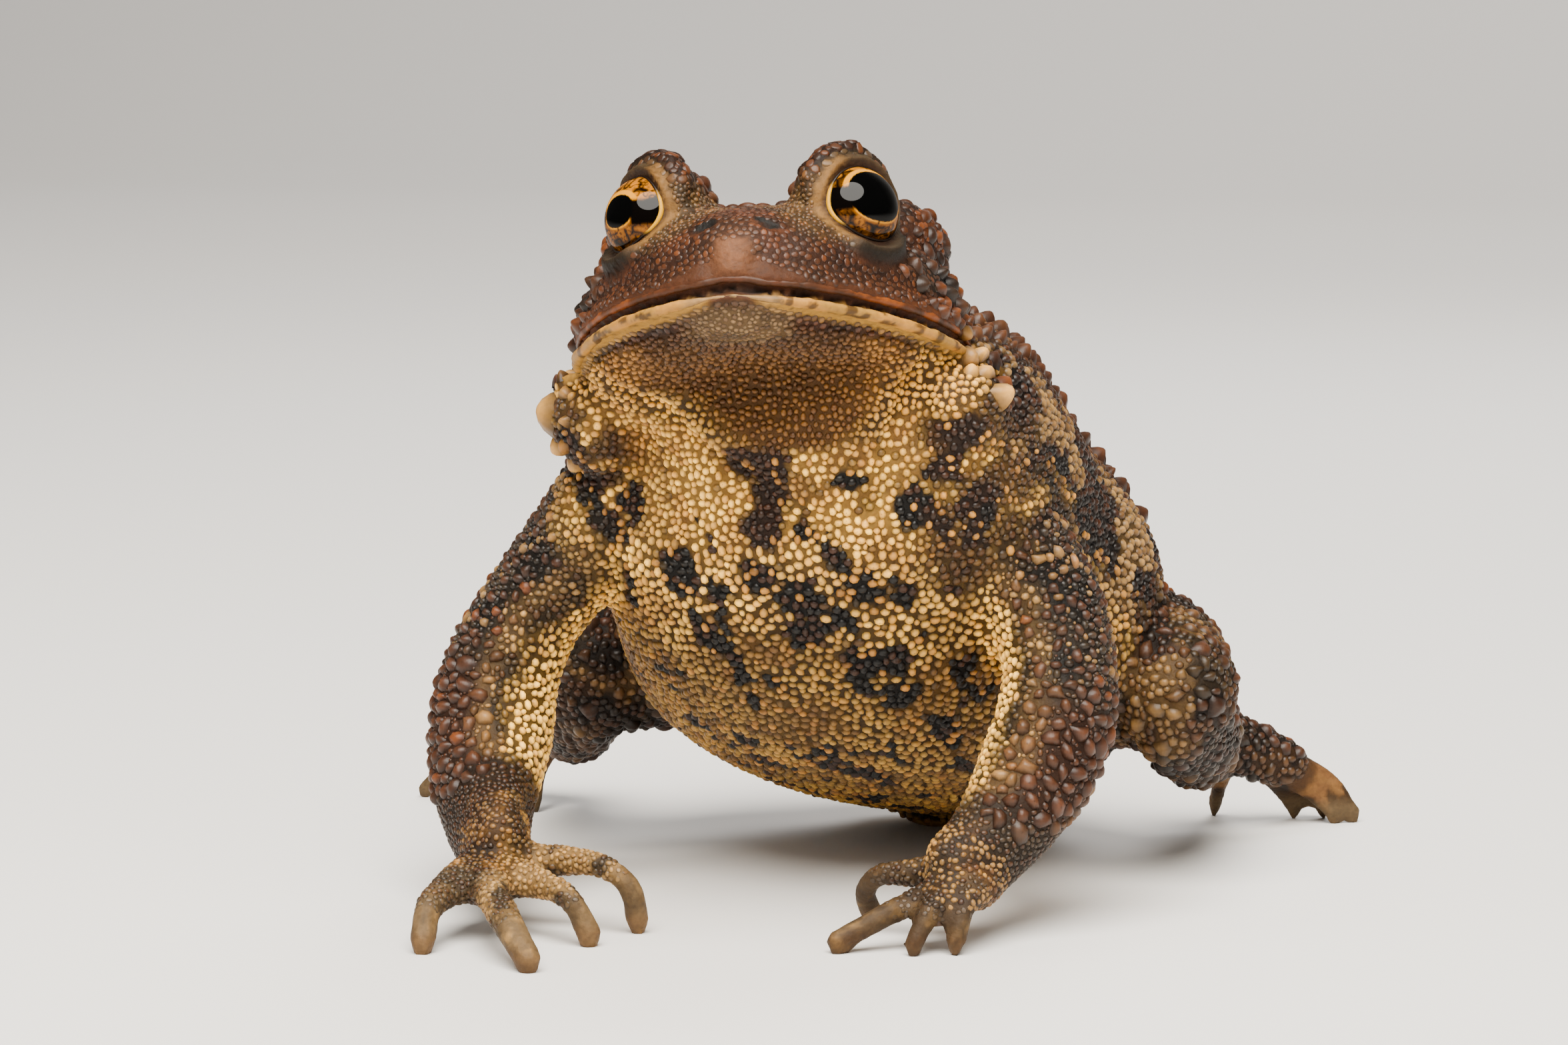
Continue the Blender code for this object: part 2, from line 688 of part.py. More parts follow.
clear_scene()
SKIN_BROWN = material("skin_brown", (0.23, 0.14, 0.075), 0.55)
SKIN_CREAM = material("skin_cream", (0.52, 0.40, 0.22), 0.55)
SKIN_LIMB = material("skin_limb", (0.33, 0.23, 0.13), 0.55)
EYE_DARK = material("eye_dark", (0.03, 0.018, 0.008), 0.08, 1.0)

head_place = head_matrix()
forms = []
points, faces = head_form()
forms.append((to_world(points, head_place), faces))
for side in (-1, 1):
    center, axis = eye_center(side), eye_axis(side)
    points, faces = ball(center, (LID_RADIUS, LID_RADIUS, LID_RADIUS))
    forms.append((to_world(points, head_place), faces))
    forms.append(lid_form(side, head_place))
    points, faces = ball((side * 11.5, 21.0, 8.5), (4.2, 7.5, 4.4))
    forms.append((to_world(points, head_place), faces))
forms.append(tube(TORSO_STATIONS, sides=32, power=2.2))
forms.extend(ball(center, radii) for center, radii in NECK_FOLDS)
for rows, fingers in ((ARM_RIGHT, FINGERS_RIGHT), (ARM_LEFT, FINGERS_LEFT)):
    forms.append(tube(rows, up=(0.0, 1.0, 0.25)))
    for finger in fingers:
        forms.append(tube(lowered(finger), up=(0.3, 0.4, 1.0), sides=12, steps=3))

whole = fused("whole", forms, VOXEL, 5)
sculpt(whole, head_place)
flatten_floor(whole, FLOOR_PRESS)
thinned(whole, WHOLE_TRIANGLES)

eyes = {}
for side, label in ((-1, "right"), (1, "left")):
    center = eye_center(side) + eye_axis(side) * EYE_PROUD
    points, faces = ball(center, (EYE_RADIUS,) * 3, 16, 10)
    eyes[label] = outward(new_object("eye_" + label, to_world(points, head_place), faces))
    points, faces = ball(center, (EYE_RADIUS + GAP,) * 3, 16, 10)
    boolean(whole, outward(new_object("socket", to_world(points, head_place), faces)), "DIFFERENCE")

for cut in (NECK_CUT, ELBOW_CUTS["right"], ELBOW_CUTS["left"], WRIST_CUTS["right"], WRIST_CUTS["left"]):
    boolean(whole, slab("slab", cut), "DIFFERENCE")
pieces = split(whole)
remove(*pieces[6:])
torso, head = pieces[:2]
torso.name, head.name = "torso", "head"
for piece in pieces[2:6]:
    low, high = coords(piece).min(0), coords(piece).max(0)
    side = "right" if low[0] < 0 else "left"
    piece.name = ("hand_" if high[2] < 15 else "forearm_") + side

for label, rows in (("right", ARM_RIGHT), ("left", ARM_LEFT)):
    root = np.array(rows[1:6], float)
    root[:, 3:] += SHOULDER_SLEEVE
    arm = copy_of(torso, "upper_arm_" + label)
    sleeve = outward(new_object("sleeve", *tube(root, up=(0.0, 1.0, 0.25), sides=16, steps=2)))
    boolean(arm, sleeve, "INTERSECT")
    largest(arm, "upper_arm_" + label)
    root[:, 3:] += GAP
    sleeve = outward(new_object("sleeve", *tube(root, up=(0.0, 1.0, 0.25), sides=16, steps=2)))
    boolean(torso, sleeve, "DIFFERENCE")
torso = largest(torso, "torso")

body = grown(fused("trunk", [tube(TORSO_STATIONS, sides=32, power=2.2)], VOXEL, 5), "trunk_grown", GAP)
remove(bpy.data.objects["trunk"])
for label, thigh_rows, shank_rows, foot_rows, toes in (
        ("left", THIGH_LEFT, SHANK_LEFT, FOOT_LEFT, TOES_LEFT),
        ("right", THIGH_RIGHT, SHANK_RIGHT, FOOT_RIGHT, TOES_RIGHT)):
    up = (0.0, 0.2, 1.0)
    thigh = fused("thigh_" + label, [tube(thigh_rows, up=up, sides=20)], LEG_VOXEL, 4)
    shank = fused("shank_" + label, [tube(shank_rows, up=up, sides=20)], LEG_VOXEL, 4)
    feet = [tube(foot_rows, up=up, sides=16)]
    feet += [tube(lowered(toe), up=up, sides=12, steps=3) for toe in toes]
    foot = fused("foot_" + label, feet, LEG_VOXEL, 3)
    for limb in (thigh, shank, foot):
        flatten_floor(limb, FLOOR_PRESS)
    boolean(thigh, body, "DIFFERENCE", keep=True)
    thinned(thigh, LEG_TRIANGLES["thigh"])
    shank_ring = grown(shank, "shank_grown", GAP)
    boolean(shank, body, "DIFFERENCE", keep=True)
    boolean(shank, grown(thigh, "thigh_grown", GAP), "DIFFERENCE")
    thinned(shank, LEG_TRIANGLES["shank"])
    boolean(foot, shank_ring, "DIFFERENCE")
    boolean(foot, body, "DIFFERENCE", keep=True)
    thinned(foot, LEG_TRIANGLES["foot"])
    for limb, name in ((thigh, "thigh_"), (shank, "shank_"), (foot, "foot_")):
        largest(limb, name + label)
remove(body)

for obj in list(bpy.context.scene.objects):
    mended(obj)
    flatten_floor(obj, 0.02)
for number, name in enumerate(sorted(obj.name for obj in bpy.context.scene.objects)):
    family = name.rsplit("_", 1)[0] if name.endswith(("_left", "_right")) else name
    if family in WARTS:
        add_warts(bpy.data.objects[name], family, WART_SEED + number)

for obj in list(bpy.context.scene.objects):
    family = obj.name.rsplit("_", 1)[0] if obj.name.endswith(("_left", "_right")) else obj.name
    for polygon in obj.data.polygons:
        polygon.use_smooth = False
    obj.data.materials.clear()
    obj.data.materials.append({"head": SKIN_BROWN, "torso": SKIN_CREAM, "eye": EYE_DARK}.get(family, SKIN_LIMB))
    set_coords(obj, (coords(obj) + np.array(ORIGIN_SHIFT)) * MM_TO_M)
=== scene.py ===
import math
from itertools import product
from types import SimpleNamespace
import bpy
import numpy as np
from mathutils import Matrix, Vector


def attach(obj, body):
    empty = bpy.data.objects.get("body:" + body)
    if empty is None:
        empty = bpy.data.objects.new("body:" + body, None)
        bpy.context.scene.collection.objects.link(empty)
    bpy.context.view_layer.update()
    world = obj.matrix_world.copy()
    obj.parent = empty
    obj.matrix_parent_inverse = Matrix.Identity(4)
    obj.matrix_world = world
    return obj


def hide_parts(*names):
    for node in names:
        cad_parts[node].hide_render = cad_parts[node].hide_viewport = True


# American toad on its hands, head raised. Lengths here are millimetres, turned to metres in toWorld().

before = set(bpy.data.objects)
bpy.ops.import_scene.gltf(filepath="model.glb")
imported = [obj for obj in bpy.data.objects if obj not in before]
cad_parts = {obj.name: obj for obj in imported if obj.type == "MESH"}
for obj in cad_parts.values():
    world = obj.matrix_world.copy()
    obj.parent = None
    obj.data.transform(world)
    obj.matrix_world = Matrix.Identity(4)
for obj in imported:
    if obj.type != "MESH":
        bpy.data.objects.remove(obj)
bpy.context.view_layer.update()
originShift = np.array([5.637, -37.237, 0])  # from the lengths below to the frame's origin


def toWorld(points):
    return (np.asarray(points, float) + originShift) * 0.001


# forms: the same named sizes as the solids

sideNames = {-1: "right", 1: "left"}
head = {
    "place": (2.9, 0, 57.6),
    "pitch": 18,
    "yaw": 8,
    "roll": 3,
    # back from the snout, half width, height over the mouth line, depth under it
    "stations": [
        (-0.6, 3.2, 4.6, 1), (0.4, 5.6, 6.6, 1.9), (2.2, 8.2, 8, 2.6), (5, 11.3, 9.2, 3.4),
        (9, 14.2, 10.3, 4.8), (14, 16.5, 11.2, 6.2), (19, 17.5, 11.8, 7.8), (24, 17.1, 12.2, 9.6),
        (29, 15.6, 12, 10.8), (33, 12.6, 10.6, 10.2)],
    "across": 0.8,  # power of the section's roundness
    "upward": 0.87,
    "gland": (11.5, 21, 8.5),  # behind the left eye
    "glandSize": (4.2, 7.5, 4.4),
}
eye = {
    "radius": 3.95,
    "place": (7.7, 10, 8.9),
    "axis": (0.7, -0.7, 0.12),
    "proud": 1.8,
    "lidRadius": 5,
    "lidForward": 2,
    "lidBend": 4.7,
    "lidRoll": [(-5, 0.6), (30, 0.9), (60, 1.6), (90, 1.9), (120, 1.8), (150, 1.5), (170, 1)],  # turn, radius
}
trunk = [  # x, y, z, half width, half height
    (1.6, 20, 49, 14.5, 11.5), (2.8, 25.5, 43.5, 20.2, 16.5), (2.8, 32, 37.5, 22.4, 19.2),
    (2.4, 40, 31, 24, 20), (2.8, 49, 25, 26.6, 19), (3.2, 58, 18.4, 24, 16.2),
    (3.4, 66, 11.8, 17.6, 11.4), (3.6, 71, 7.2, 11, 7.6)]
neckFolds = [  # middle, half sizes
    ((-15.4, 20, 45), (5.2, 5.8, 5.6)), ((16.8, 20, 46), (5.2, 5.8, 5.6))]
arms = {
    "right": [
        (-11, 25.5, 41, 6.5, 7.5), (-15.8, 25.5, 37, 6, 6.6), (-21, 27, 31.3, 5.3, 5.8),
        (-25.4, 26.8, 25.6, 5.1, 5.5), (-27.6, 25, 20, 5.6, 5.7), (-27.6, 22.4, 14.7, 5.8, 5.6),
        (-26.6, 18.4, 10.8, 5.3, 4.8), (-24.6, 14, 8.2, 5, 3.9), (-22.4, 9.5, 6.4, 5, 3.1)],
    "left": [
        (11, 26, 40, 6.5, 7.5), (17.2, 26.5, 35.8, 6.2, 6.6), (22.2, 27.5, 30, 5.5, 5.9),
        (24.8, 26.5, 24.5, 5.2, 5.6), (25.3, 24.5, 19.4, 5.4, 5.7), (24.2, 22, 14.6, 5.3, 5.4),
        (22.7, 19, 10.9, 4.7, 4.5), (21, 16.5, 8.2, 4.2, 3.7), (19.6, 13.5, 6.4, 4.2, 3)],
}
fingers = {  # x, y, z, radius
    "right": [
        [(-21, 9.5, 5.6, 2), (-16.2, 10, 6, 1.6), (-12, 8.6, 6, 1.3), (-9.4, 8.4, 4.2, 1.3),
         (-9, 9.4, 1, 1.35)],
        [(-20.5, 6.5, 5, 2.2), (-16, 4.6, 4.8, 1.5), (-12.8, 2.4, 4, 1.3), (-11.2, 2.6, 1, 1.4)],
        [(-21.5, 4.5, 4.8, 2.4), (-18.6, -1.4, 4.6, 1.7), (-15.4, -6.4, 3.4, 1.6), (-12.6, -9.4, 1.1, 1.5)],
        [(-23.6, 6, 4.8, 2.4), (-24, 0.6, 4.4, 1.7), (-24.2, -2.8, 3.4, 1.5), (-24, -4.6, 1, 1.5)]],
    "left": [
        [(18.6, 15.5, 6, 2), (14.6, 14.6, 5.8, 1.5), (11.6, 14.6, 5.4, 1.25), (10, 16, 3.4, 1.25),
         (10.2, 18, 1, 1.3)],
        [(19.4, 12.5, 5, 2.2), (16.8, 10.6, 4.4, 1.5), (13.8, 8.2, 3, 1.35), (10.4, 6, 1, 1.3)],
        [(20.2, 12, 5, 2.1), (18.4, 8.6, 4.2, 1.3), (17, 6.8, 1, 1.15)],
        [(21.4, 13.5, 5.2, 2.1), (21, 9.6, 4.4, 1.3), (20.4, 8.2, 1.1, 1.15)]],
}
smoothTips = {"right": (0.38, 0.62), "left": (0.12, 0.5)}  # where a finger's smooth tip begins, and is full
legs = {
    "left": {
        "thigh": [
            (11, 60, 19, 8.5, 8), (20, 58, 19.5, 8.8, 8.4), (27, 53, 19, 7.8, 7.8), (31, 47.5, 18, 6, 6.4)],
        "shank": [
            (31, 47, 15.4, 4.4, 4.6), (31, 53, 13.8, 4.8, 5), (30, 60, 11.8, 4.7, 4.9),
            (28.8, 67, 9.6, 3.9, 4.3), (28, 71, 9, 3.4, 3.7)],
        "foot": [(27.4, 72.8, 9.4, 3.3, 3.5), (31, 76.4, 8.2, 3, 3.2), (34.8, 79.8, 6.2, 2.9, 2.5)],
        "toes": [
            [(29.6, 77.6, 6.8, 1.7), (28.2, 81, 3.8, 1.15), (27.2, 82.8, 0.8, 1)],
            [(32.6, 79.6, 6, 1.6), (34.2, 82.2, 3, 1.1), (35.2, 83.6, 0.8, 0.95)],
            [(34.6, 79.8, 5.4, 1.6), (37.6, 81.2, 3, 1.15), (39.6, 81.8, 0.8, 0.95)],
            [(35.2, 80.6, 5.8, 2), (38.8, 82.4, 4, 1.4), (41.4, 83.2, 0.8, 1)],
            [(34.6, 81.2, 5.2, 1.7), (36.8, 83.6, 2.8, 1.1), (38, 84.6, 0.8, 0.95)]],
    },
    "right": {
        "thigh": [
            (-5, 60, 19, 8.5, 8), (-14, 57.5, 19.5, 8.8, 8.4), (-21, 52, 19, 7.8, 7.8),
            (-25.2, 46.5, 17.8, 6, 6.4)],
        "shank": [
            (-26, 46.5, 15.2, 4.4, 4.6), (-29.4, 52, 13.4, 4.8, 5), (-32.2, 58.5, 11.4, 4.7, 4.9),
            (-34.2, 64, 9.6, 3.9, 4.3), (-35.2, 67, 9, 3.4, 3.7)],
        "foot": [(-36.4, 68.6, 9, 3.3, 3.5), (-40.4, 69.6, 7.6, 3, 3.1), (-44.4, 69.6, 5.9, 2.9, 2.5)],
        "toes": [
            [(-38.6, 68, 6.4, 1.7), (-38.8, 66, 3.6, 1.15), (-38.6, 64.8, 0.8, 1)],
            [(-42, 68, 5.8, 1.6), (-43.4, 66.4, 3, 1.1), (-44.2, 65.4, 0.8, 0.95)],
            [(-44, 68.6, 5.4, 1.6), (-46.8, 67.2, 3, 1.15), (-48.6, 66.2, 0.8, 0.95)],
            [(-44.8, 69.6, 5.6, 2), (-49, 70, 3.8, 1.4), (-52.6, 69.8, 0.8, 1)],
            [(-43.8, 70.8, 5.2, 1.7), (-47.2, 73.4, 2.8, 1.1), (-49.6, 75.2, 0.8, 0.95)]],
    },
}


def smoothRows(rows, steps):
    # Catmull-Rom through the rows: each column follows the cubic of its four nearest rows
    rows = np.array(rows, float)
    padded = np.vstack([2 * rows[0] - rows[1], rows, 2 * rows[-1] - rows[-2]])
    t = (np.arange(steps) / steps)[None, :, None]
    a, b, c, d = (padded[i:len(rows) - 1 + i, None, :] for i in range(4))
    out = 0.5 * (2 * b + (c - a) * t + (2 * a - 5 * b + 4 * c - d) * t ** 2
                 + (3 * b - a - 3 * c + d) * t ** 3)
    return np.vstack([out.reshape(-1, rows.shape[1]), rows[-1:]])


def unit(vectors):
    return vectors / np.maximum(np.linalg.norm(vectors, axis=-1), 1e-12)[..., None]


def rounded(value, power):
    # a cosine or sine raised to a power, its sign kept: below 1 the section turns boxy
    return np.sign(value) * np.abs(value) ** power


def fullTurn(sides):
    return np.linspace(0, 2 * math.pi, sides, endpoint=False)


def bandFaces(count, sides, closed=False):
    # quads between neighbouring rings
    i, j = np.meshgrid(np.arange(count if closed else count - 1), np.arange(sides), indexing="ij")
    nextRing, k = (i + 1) % count * sides, (j + 1) % sides
    return np.stack([i * sides + j, i * sides + k, nextRing + k, nextRing + j], -1).reshape(-1, 4)


def fanFaces(tip, start, sides):
    # triangles from a tip to the ring that starts at a point, written as quads with the last corner doubled
    j = np.arange(sides)
    k = (j + 1) % sides
    return np.stack([0 * j + tip, start + j, start + k, start + k], -1)


def fromRings(rings):
    # closed tube: a point in the middle of each end joins its ring by a fan
    count, sides = rings.shape[:2]
    points = np.vstack([rings.reshape(-1, 3), rings[:1].mean(1), rings[-1:].mean(1)])
    first = fanFaces(count * sides, 0, sides)[:, [0, 2, 1, 1]]
    last = fanFaces(count * sides + 1, (count - 1) * sides, sides)
    return points, np.vstack([bandFaces(count, sides), first, last])


def limb(rows, up=(0, 0, 1.0), sides=20, steps=5, power=2.0):
    # limb surface: an oval of the row's half width and half height, carried along the curve, its ends
    # rounded by a quarter circle
    rows = np.array(rows, float)
    if rows.shape[1] == 4:
        rows = np.hstack([rows, rows[:, 3:4]])
    path = smoothRows(rows, steps)
    along = unit(np.gradient(path[:, :3], axis=0))
    arc = np.linspace(0, math.pi / 2, 5)[1:]
    ends = []
    for row, way, sign in ((path[0], along[0], -1), (path[-1], along[-1], 1)):
        cap = np.repeat(row[None], 4, 0)
        cap[:, :3] += sign * way * min(row[3], row[4]) * np.sin(arc)[:, None]
        cap[:, 3:] *= np.maximum(np.cos(arc), 0.05)[:, None]
        ends.append(cap)
    path = np.vstack([ends[0][::-1], path, ends[1]])
    along = np.vstack([np.repeat(along[:1], 4, 0), along, np.repeat(along[-1:], 4, 0)])
    side = unit(np.cross(along, np.array(up)))
    rise = np.cross(side, along)
    turn = fullTurn(sides)
    across, upward = rounded(np.cos(turn), 2 / power), rounded(np.sin(turn), 2 / power)
    return fromRings(path[:, None, :3] + side[:, None] * (path[:, 3, None] * across)[..., None]
                     + rise[:, None] * (path[:, 4, None] * upward)[..., None])


def ball(center, radii, sides=24, count=14):
    # ball surface: centre plus radius times (sin a cos b, sin a sin b, cos a)
    a = np.linspace(math.pi, 0, count + 1)[1:-1, None]
    b = fullTurn(sides)[None]
    points, faces = fromRings(np.stack([np.sin(a) * np.cos(b), np.sin(a) * np.sin(b), np.cos(a) + 0 * b], -1))
    points[-2:] = (0, 0, -1), (0, 0, 1)
    return points * np.array(radii) + np.array(center), faces


headTurn = np.array(Matrix.Rotation(math.radians(head["yaw"]), 3, "Z")
                    @ Matrix.Rotation(math.radians(-head["roll"]), 3, "Y")
                    @ Matrix.Rotation(math.radians(-head["pitch"]), 3, "X"))


def fromHead(points):
    return np.asarray(points) @ headTurn.T + np.array(head["place"])


def toHead(points):
    return (np.asarray(points) - np.array(head["place"])) @ headTurn


def mirrored(spot, side):
    return np.array(spot) * (side, 1, 1)


def eyeCenter(side):
    return mirrored(eye["place"], side)


def eyeFrame(side):
    # axis out of the eye, across towards its outer corner, and upward
    axis = unit(mirrored(eye["axis"], side))
    across = unit(np.cross((0, 0, 1.0), axis) * side)
    rise = np.cross(axis, across)
    return axis, across, rise * np.sign(rise[2])


def headForm():
    # head surface: across = half width * |cos t|^0.8, up = height * |sin t|^0.87 over the mouth line and
    # depth * the same under it
    rows = smoothRows(head["stations"], 5)
    turn = fullTurn(48)
    across, upward = rounded(np.cos(turn), head["across"]), rounded(np.sin(turn), head["upward"])
    depth = np.where(np.sin(turn) > 0, rows[:, 2, None], rows[:, 3, None])
    rings = np.stack([rows[:, 1, None] * across, rows[:, 0, None] + 0 * across, depth * upward], -1)
    points, faces = fromRings(rings[::-1])
    return fromHead(points), faces


def headBall(center, radii):
    points, faces = ball(center, radii)
    return fromHead(points), faces


def lidForm(side):
    # a limb bent round the top of the eye
    axis, across, rise = eyeFrame(side)
    rows = []
    for turn, size in eye["lidRoll"]:
        t = math.radians(turn)
        bend = (across * math.cos(t) + rise * math.sin(t)) * eye["lidBend"]
        rows.append((*fromHead(eyeCenter(side) + axis * eye["lidForward"] + bend), size))
    return limb(rows, up=tuple(headTurn @ axis), sides=14)


def gatherForms():
    forms = [headForm()]
    for side in sideNames:
        forms.append(headBall(eyeCenter(side), (eye["lidRadius"],) * 3))
        forms.append(headBall(mirrored(head["gland"], side), head["glandSize"]))
        forms.append(lidForm(side))
    forms.append(limb(trunk, sides=40, power=2.2))
    forms += [ball(*fold) for fold in neckFolds]
    for label in sideNames.values():
        forms.append(limb(arms[label], up=(0, 1, 0.25)))
        forms += [limb(finger, up=(0.3, 0.4, 1), sides=14) for finger in fingers[label]]
        leg = legs[label]
        forms += [limb(leg[name], up=(0, 0.2, 1)) for name in ("thigh", "shank", "foot")]
        forms += [limb(toe, up=(0, 0.2, 1), sides=14) for toe in leg["toes"]]
    return forms


def flat(values, kind=np.float32):
    return np.ascontiguousarray(values, dtype=kind).ravel()


def makeMesh(name, points, faces):
    # a face whose last two corners are the same is a triangle
    mesh = bpy.data.meshes.new(name)
    faces = np.asarray(faces)
    sizes = np.where(faces[:, 2] == faces[:, 3], 3, 4)
    loops = faces.reshape(-1)[(np.arange(4)[None] < sizes[:, None]).reshape(-1)]
    mesh.vertices.add(len(points))
    mesh.vertices.foreach_set("co", flat(points))
    mesh.loops.add(len(loops))
    mesh.loops.foreach_set("vertex_index", flat(loops, np.int32))
    mesh.polygons.add(len(faces))
    mesh.polygons.foreach_set("loop_start", flat(np.cumsum(sizes) - sizes, np.int32))
    mesh.polygons.foreach_set("loop_total", flat(sizes, np.int32))
    mesh.update(calc_edges=True)
    mesh.validate()
    mesh.polygons.foreach_set("use_smooth", np.full(len(mesh.polygons), True))
    return mesh


def addObject(name, data):
    added = bpy.data.objects.new(name, data)
    bpy.context.scene.collection.objects.link(added)
    return added


def addPiece(name, points, faces, material, colors):
    mesh = makeMesh(name, toWorld(points), faces)
    layer = mesh.color_attributes.new("paint", "FLOAT_COLOR", "POINT")
    layer.data.foreach_set("color", flat(np.hstack([colors, np.ones((len(colors), 1))])))
    mesh.materials.append(material)
    piece = addObject(name, mesh)
    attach(piece, "root")
    return piece


def vertexNormals(points, faces):
    a, b, c, d = (points[faces[:, i]] for i in range(4))
    facing = np.cross(c - a, d - b)
    out = np.zeros_like(points)
    for i in range(4):
        np.add.at(out, faces[:, i], facing)
    return unit(out)


def meltForms(forms, voxel, rounds):
    # one closed skin round all forms
    start, points, faces = 0, [], []
    for formPoints, formFaces in forms:
        points.append(formPoints)
        faces.append(formFaces + start)
        start += len(formPoints)
    helper = addObject("helper", makeMesh("helper", np.vstack(points), np.vstack(faces)))
    remesh = helper.modifiers.new("skin", "REMESH")
    remesh.mode = "VOXEL"
    remesh.voxel_size = voxel
    soften = helper.modifiers.new("soften", "SMOOTH")
    soften.factor = 0.5
    soften.iterations = rounds
    bpy.context.view_layer.update()
    mesh = helper.evaluated_get(bpy.context.evaluated_depsgraph_get()).to_mesh()
    points = np.empty(len(mesh.vertices) * 3, np.float32)
    mesh.vertices.foreach_get("co", points)
    faces = np.empty(len(mesh.loops), np.int32)
    mesh.loops.foreach_get("vertex_index", faces)
    bpy.data.objects.remove(helper, do_unlink=True)
    return points.reshape(-1, 3).astype(float), faces.reshape(-1, 4)


def bump(distance, width):
    return np.exp(-(distance / width) ** 2)


def ramp(value, low, high):
    # smoothstep from 0 at low to 1 at high
    t = np.clip((value - low) / (high - low), 0, 1)
    return t * t * (3 - 2 * t)


def noise(points, scale, seed=0):
    # smooth value noise, 0 to 1: hashed corners of a lattice blended by smoothstep
    p = np.asarray(points) / scale + seed * 17.31
    base = np.floor(p).astype(np.int64)
    t = p - base
    t = t * t * (3 - 2 * t)
    out = 0
    for corner in product((0, 1), repeat=3):
        a, b, c = ((base[:, i] + corner[i]) * prime for i, prime in enumerate((73856093, 19349663, 83492791)))
        value = (((a ^ b ^ c) * 2654435761 + seed * 9781) % 1000003) / 1000003
        x, y, z = (t[:, i] if corner[i] else 1 - t[:, i] for i in range(3))
        out = out + value * (x * y * z)
    return out


def layered(points, scale, seed=0):
    # three sizes of noise, the largest strongest
    sizes = ((1, 0), (0.45, 3), (0.2, 5))  # share of the scale, added to the seed
    large, mid, small = (noise(points, scale * share, seed + more) for share, more in sizes)
    return 0.6 * large + 0.28 * mid + 0.12 * small


# where each spot of the skin is, shared by the granules and the colours

def nearPath(points, rows, steps, start=0):
    # distance to the nearest point of a limb's curve, in its half widths there, and which point that is
    path = smoothRows(rows, steps)[start:]
    best = np.full(len(points), 1e9)
    index = np.zeros(len(points), int)
    for i, row in enumerate(path):
        away = np.linalg.norm(points - row[:3], axis=1) / row[3]
        nearer = away < best
        best[nearer] = away[nearer]
        index[nearer] = i
    return best, index, path


def readPlace(points, normals):
    # everything that depends only on where a point of the skin is, as soft weights from 0 to 1
    y, z = points[:, 1], points[:, 2]
    neck = (points - (0, 13, 45.2)) @ np.array([0, -0.6, 0.8])  # over the plane that parts head and trunk
    place = SimpleNamespace(points=points, normal=normals, local=toHead(points), head=ramp(neck, -0.6, 0.6))
    arm, along, outer, finger, leg, toe, tip = (np.zeros(len(points)) for _ in range(7))
    for sign, label in sideNames.items():
        away, index, path = nearPath(points, arms[label], 6)
        t = index / (len(path) - 1)
        weight = ramp(away, 1.35, 1.12) * (y < 36) * ramp(t, 0.12, 0.24)
        side = unit(points - path[index, :3]) @ (np.array([sign * 0.86, -0.35, 0.3]) / 0.976)
        nearer = weight > arm
        arm, along, outer = (np.where(nearer, *pair) for pair in ((weight, arm), (t, along), (side, outer)))
        for rows in fingers[label]:
            away, index, path = nearPath(points, rows, 4, 3)
            weight = ramp(away, 1.7, 1.15)
            finger = np.maximum(finger, weight)
            tip = np.maximum(tip, weight * ramp(index / len(path), *smoothTips[label]))
        for name in ("thigh", "shank", "foot"):
            leg = np.maximum(leg, ramp(nearPath(points, legs[label][name], 4)[0], 1.3, 1.08))
        for rows in legs[label]["toes"]:
            toe = np.maximum(toe, ramp(nearPath(points, rows, 4, 2)[0], 1.7, 1.2))
    leg = leg * (y > 40)
    onHand = ramp(z, 10.5, 9) * (y < 27)
    place.arm, place.along, place.outer, place.finger, place.tip, place.leg, place.toe = (
        arm, along, outer, finger, tip, leg, toe)
    place.hand = np.maximum.reduce([arm * ramp(along, 0.78, 0.88), finger, onHand])
    place.under = normals @ np.array([0.02, -0.6, -0.8])  # 1 where the skin faces down and forward
    place.trunk = (1 - place.head) * (1 - arm) * (1 - finger) * (1 - leg) * (1 - onHand)
    return place


face = {  # each oval has its middle and its half sizes, in the head's frame
    "chin": ((0, 2.4, -1.9), (2.9, 2, 1.35)),
    "snoutTip": ((0, -0.6, 3.4), (1, 1, 1.3)),
    "snoutShine": ((0, -0.4, 3.6), (2.2, 3, 2.6)),
    "throat": ((0, 11, -6), (8.5, 6, 5)),
    "nostril": (2.72, 0.7, 6.45),
    "nostrilTurn": ((0.942, 0.263, 0), (0, 0.617, -0.77), (-0.334, 0.742, 0.64)),
    "nostrilSize": (0.85, 0.36, 1.8),
    "nostrilShadeShift": (0, 0.3, 0.15),  # painted shade: the black sits this far back and up in the hollow
}


def ovalAway(local, center, sizes):
    # distance from a middle, in half sizes
    return np.linalg.norm((local - center) / sizes, axis=1)


def nostrilAway(local):
    # distance from each nostril in its own size: long outward and down, thin along the snout, deep inward
    u, v, w = local.T
    turned = (np.stack([np.abs(u), v, w], 1) - face["nostril"]) @ np.array(face["nostrilTurn"])
    return np.linalg.norm(turned / face["nostrilSize"], axis=1)


def mouthHeight(u):
    return 0.5 * bump(u, 2.2) - 0.0022 * u ** 2


def throatFold(u, v):
    # how far behind the curved fold that parts throat and chest
    return v - 17.5 + 0.016 * u ** 2


def eyePlace(local, side):
    # distance from the eye's axis, height along it, upward part and nose-side part of a head point
    axis, across, rise = eyeFrame(side)
    away = local - (eyeCenter(side) + axis * eye["proud"])
    reach = away @ axis
    level = away - reach[:, None] * axis
    return np.linalg.norm(level, axis=1), reach, level @ rise, -(level @ across)


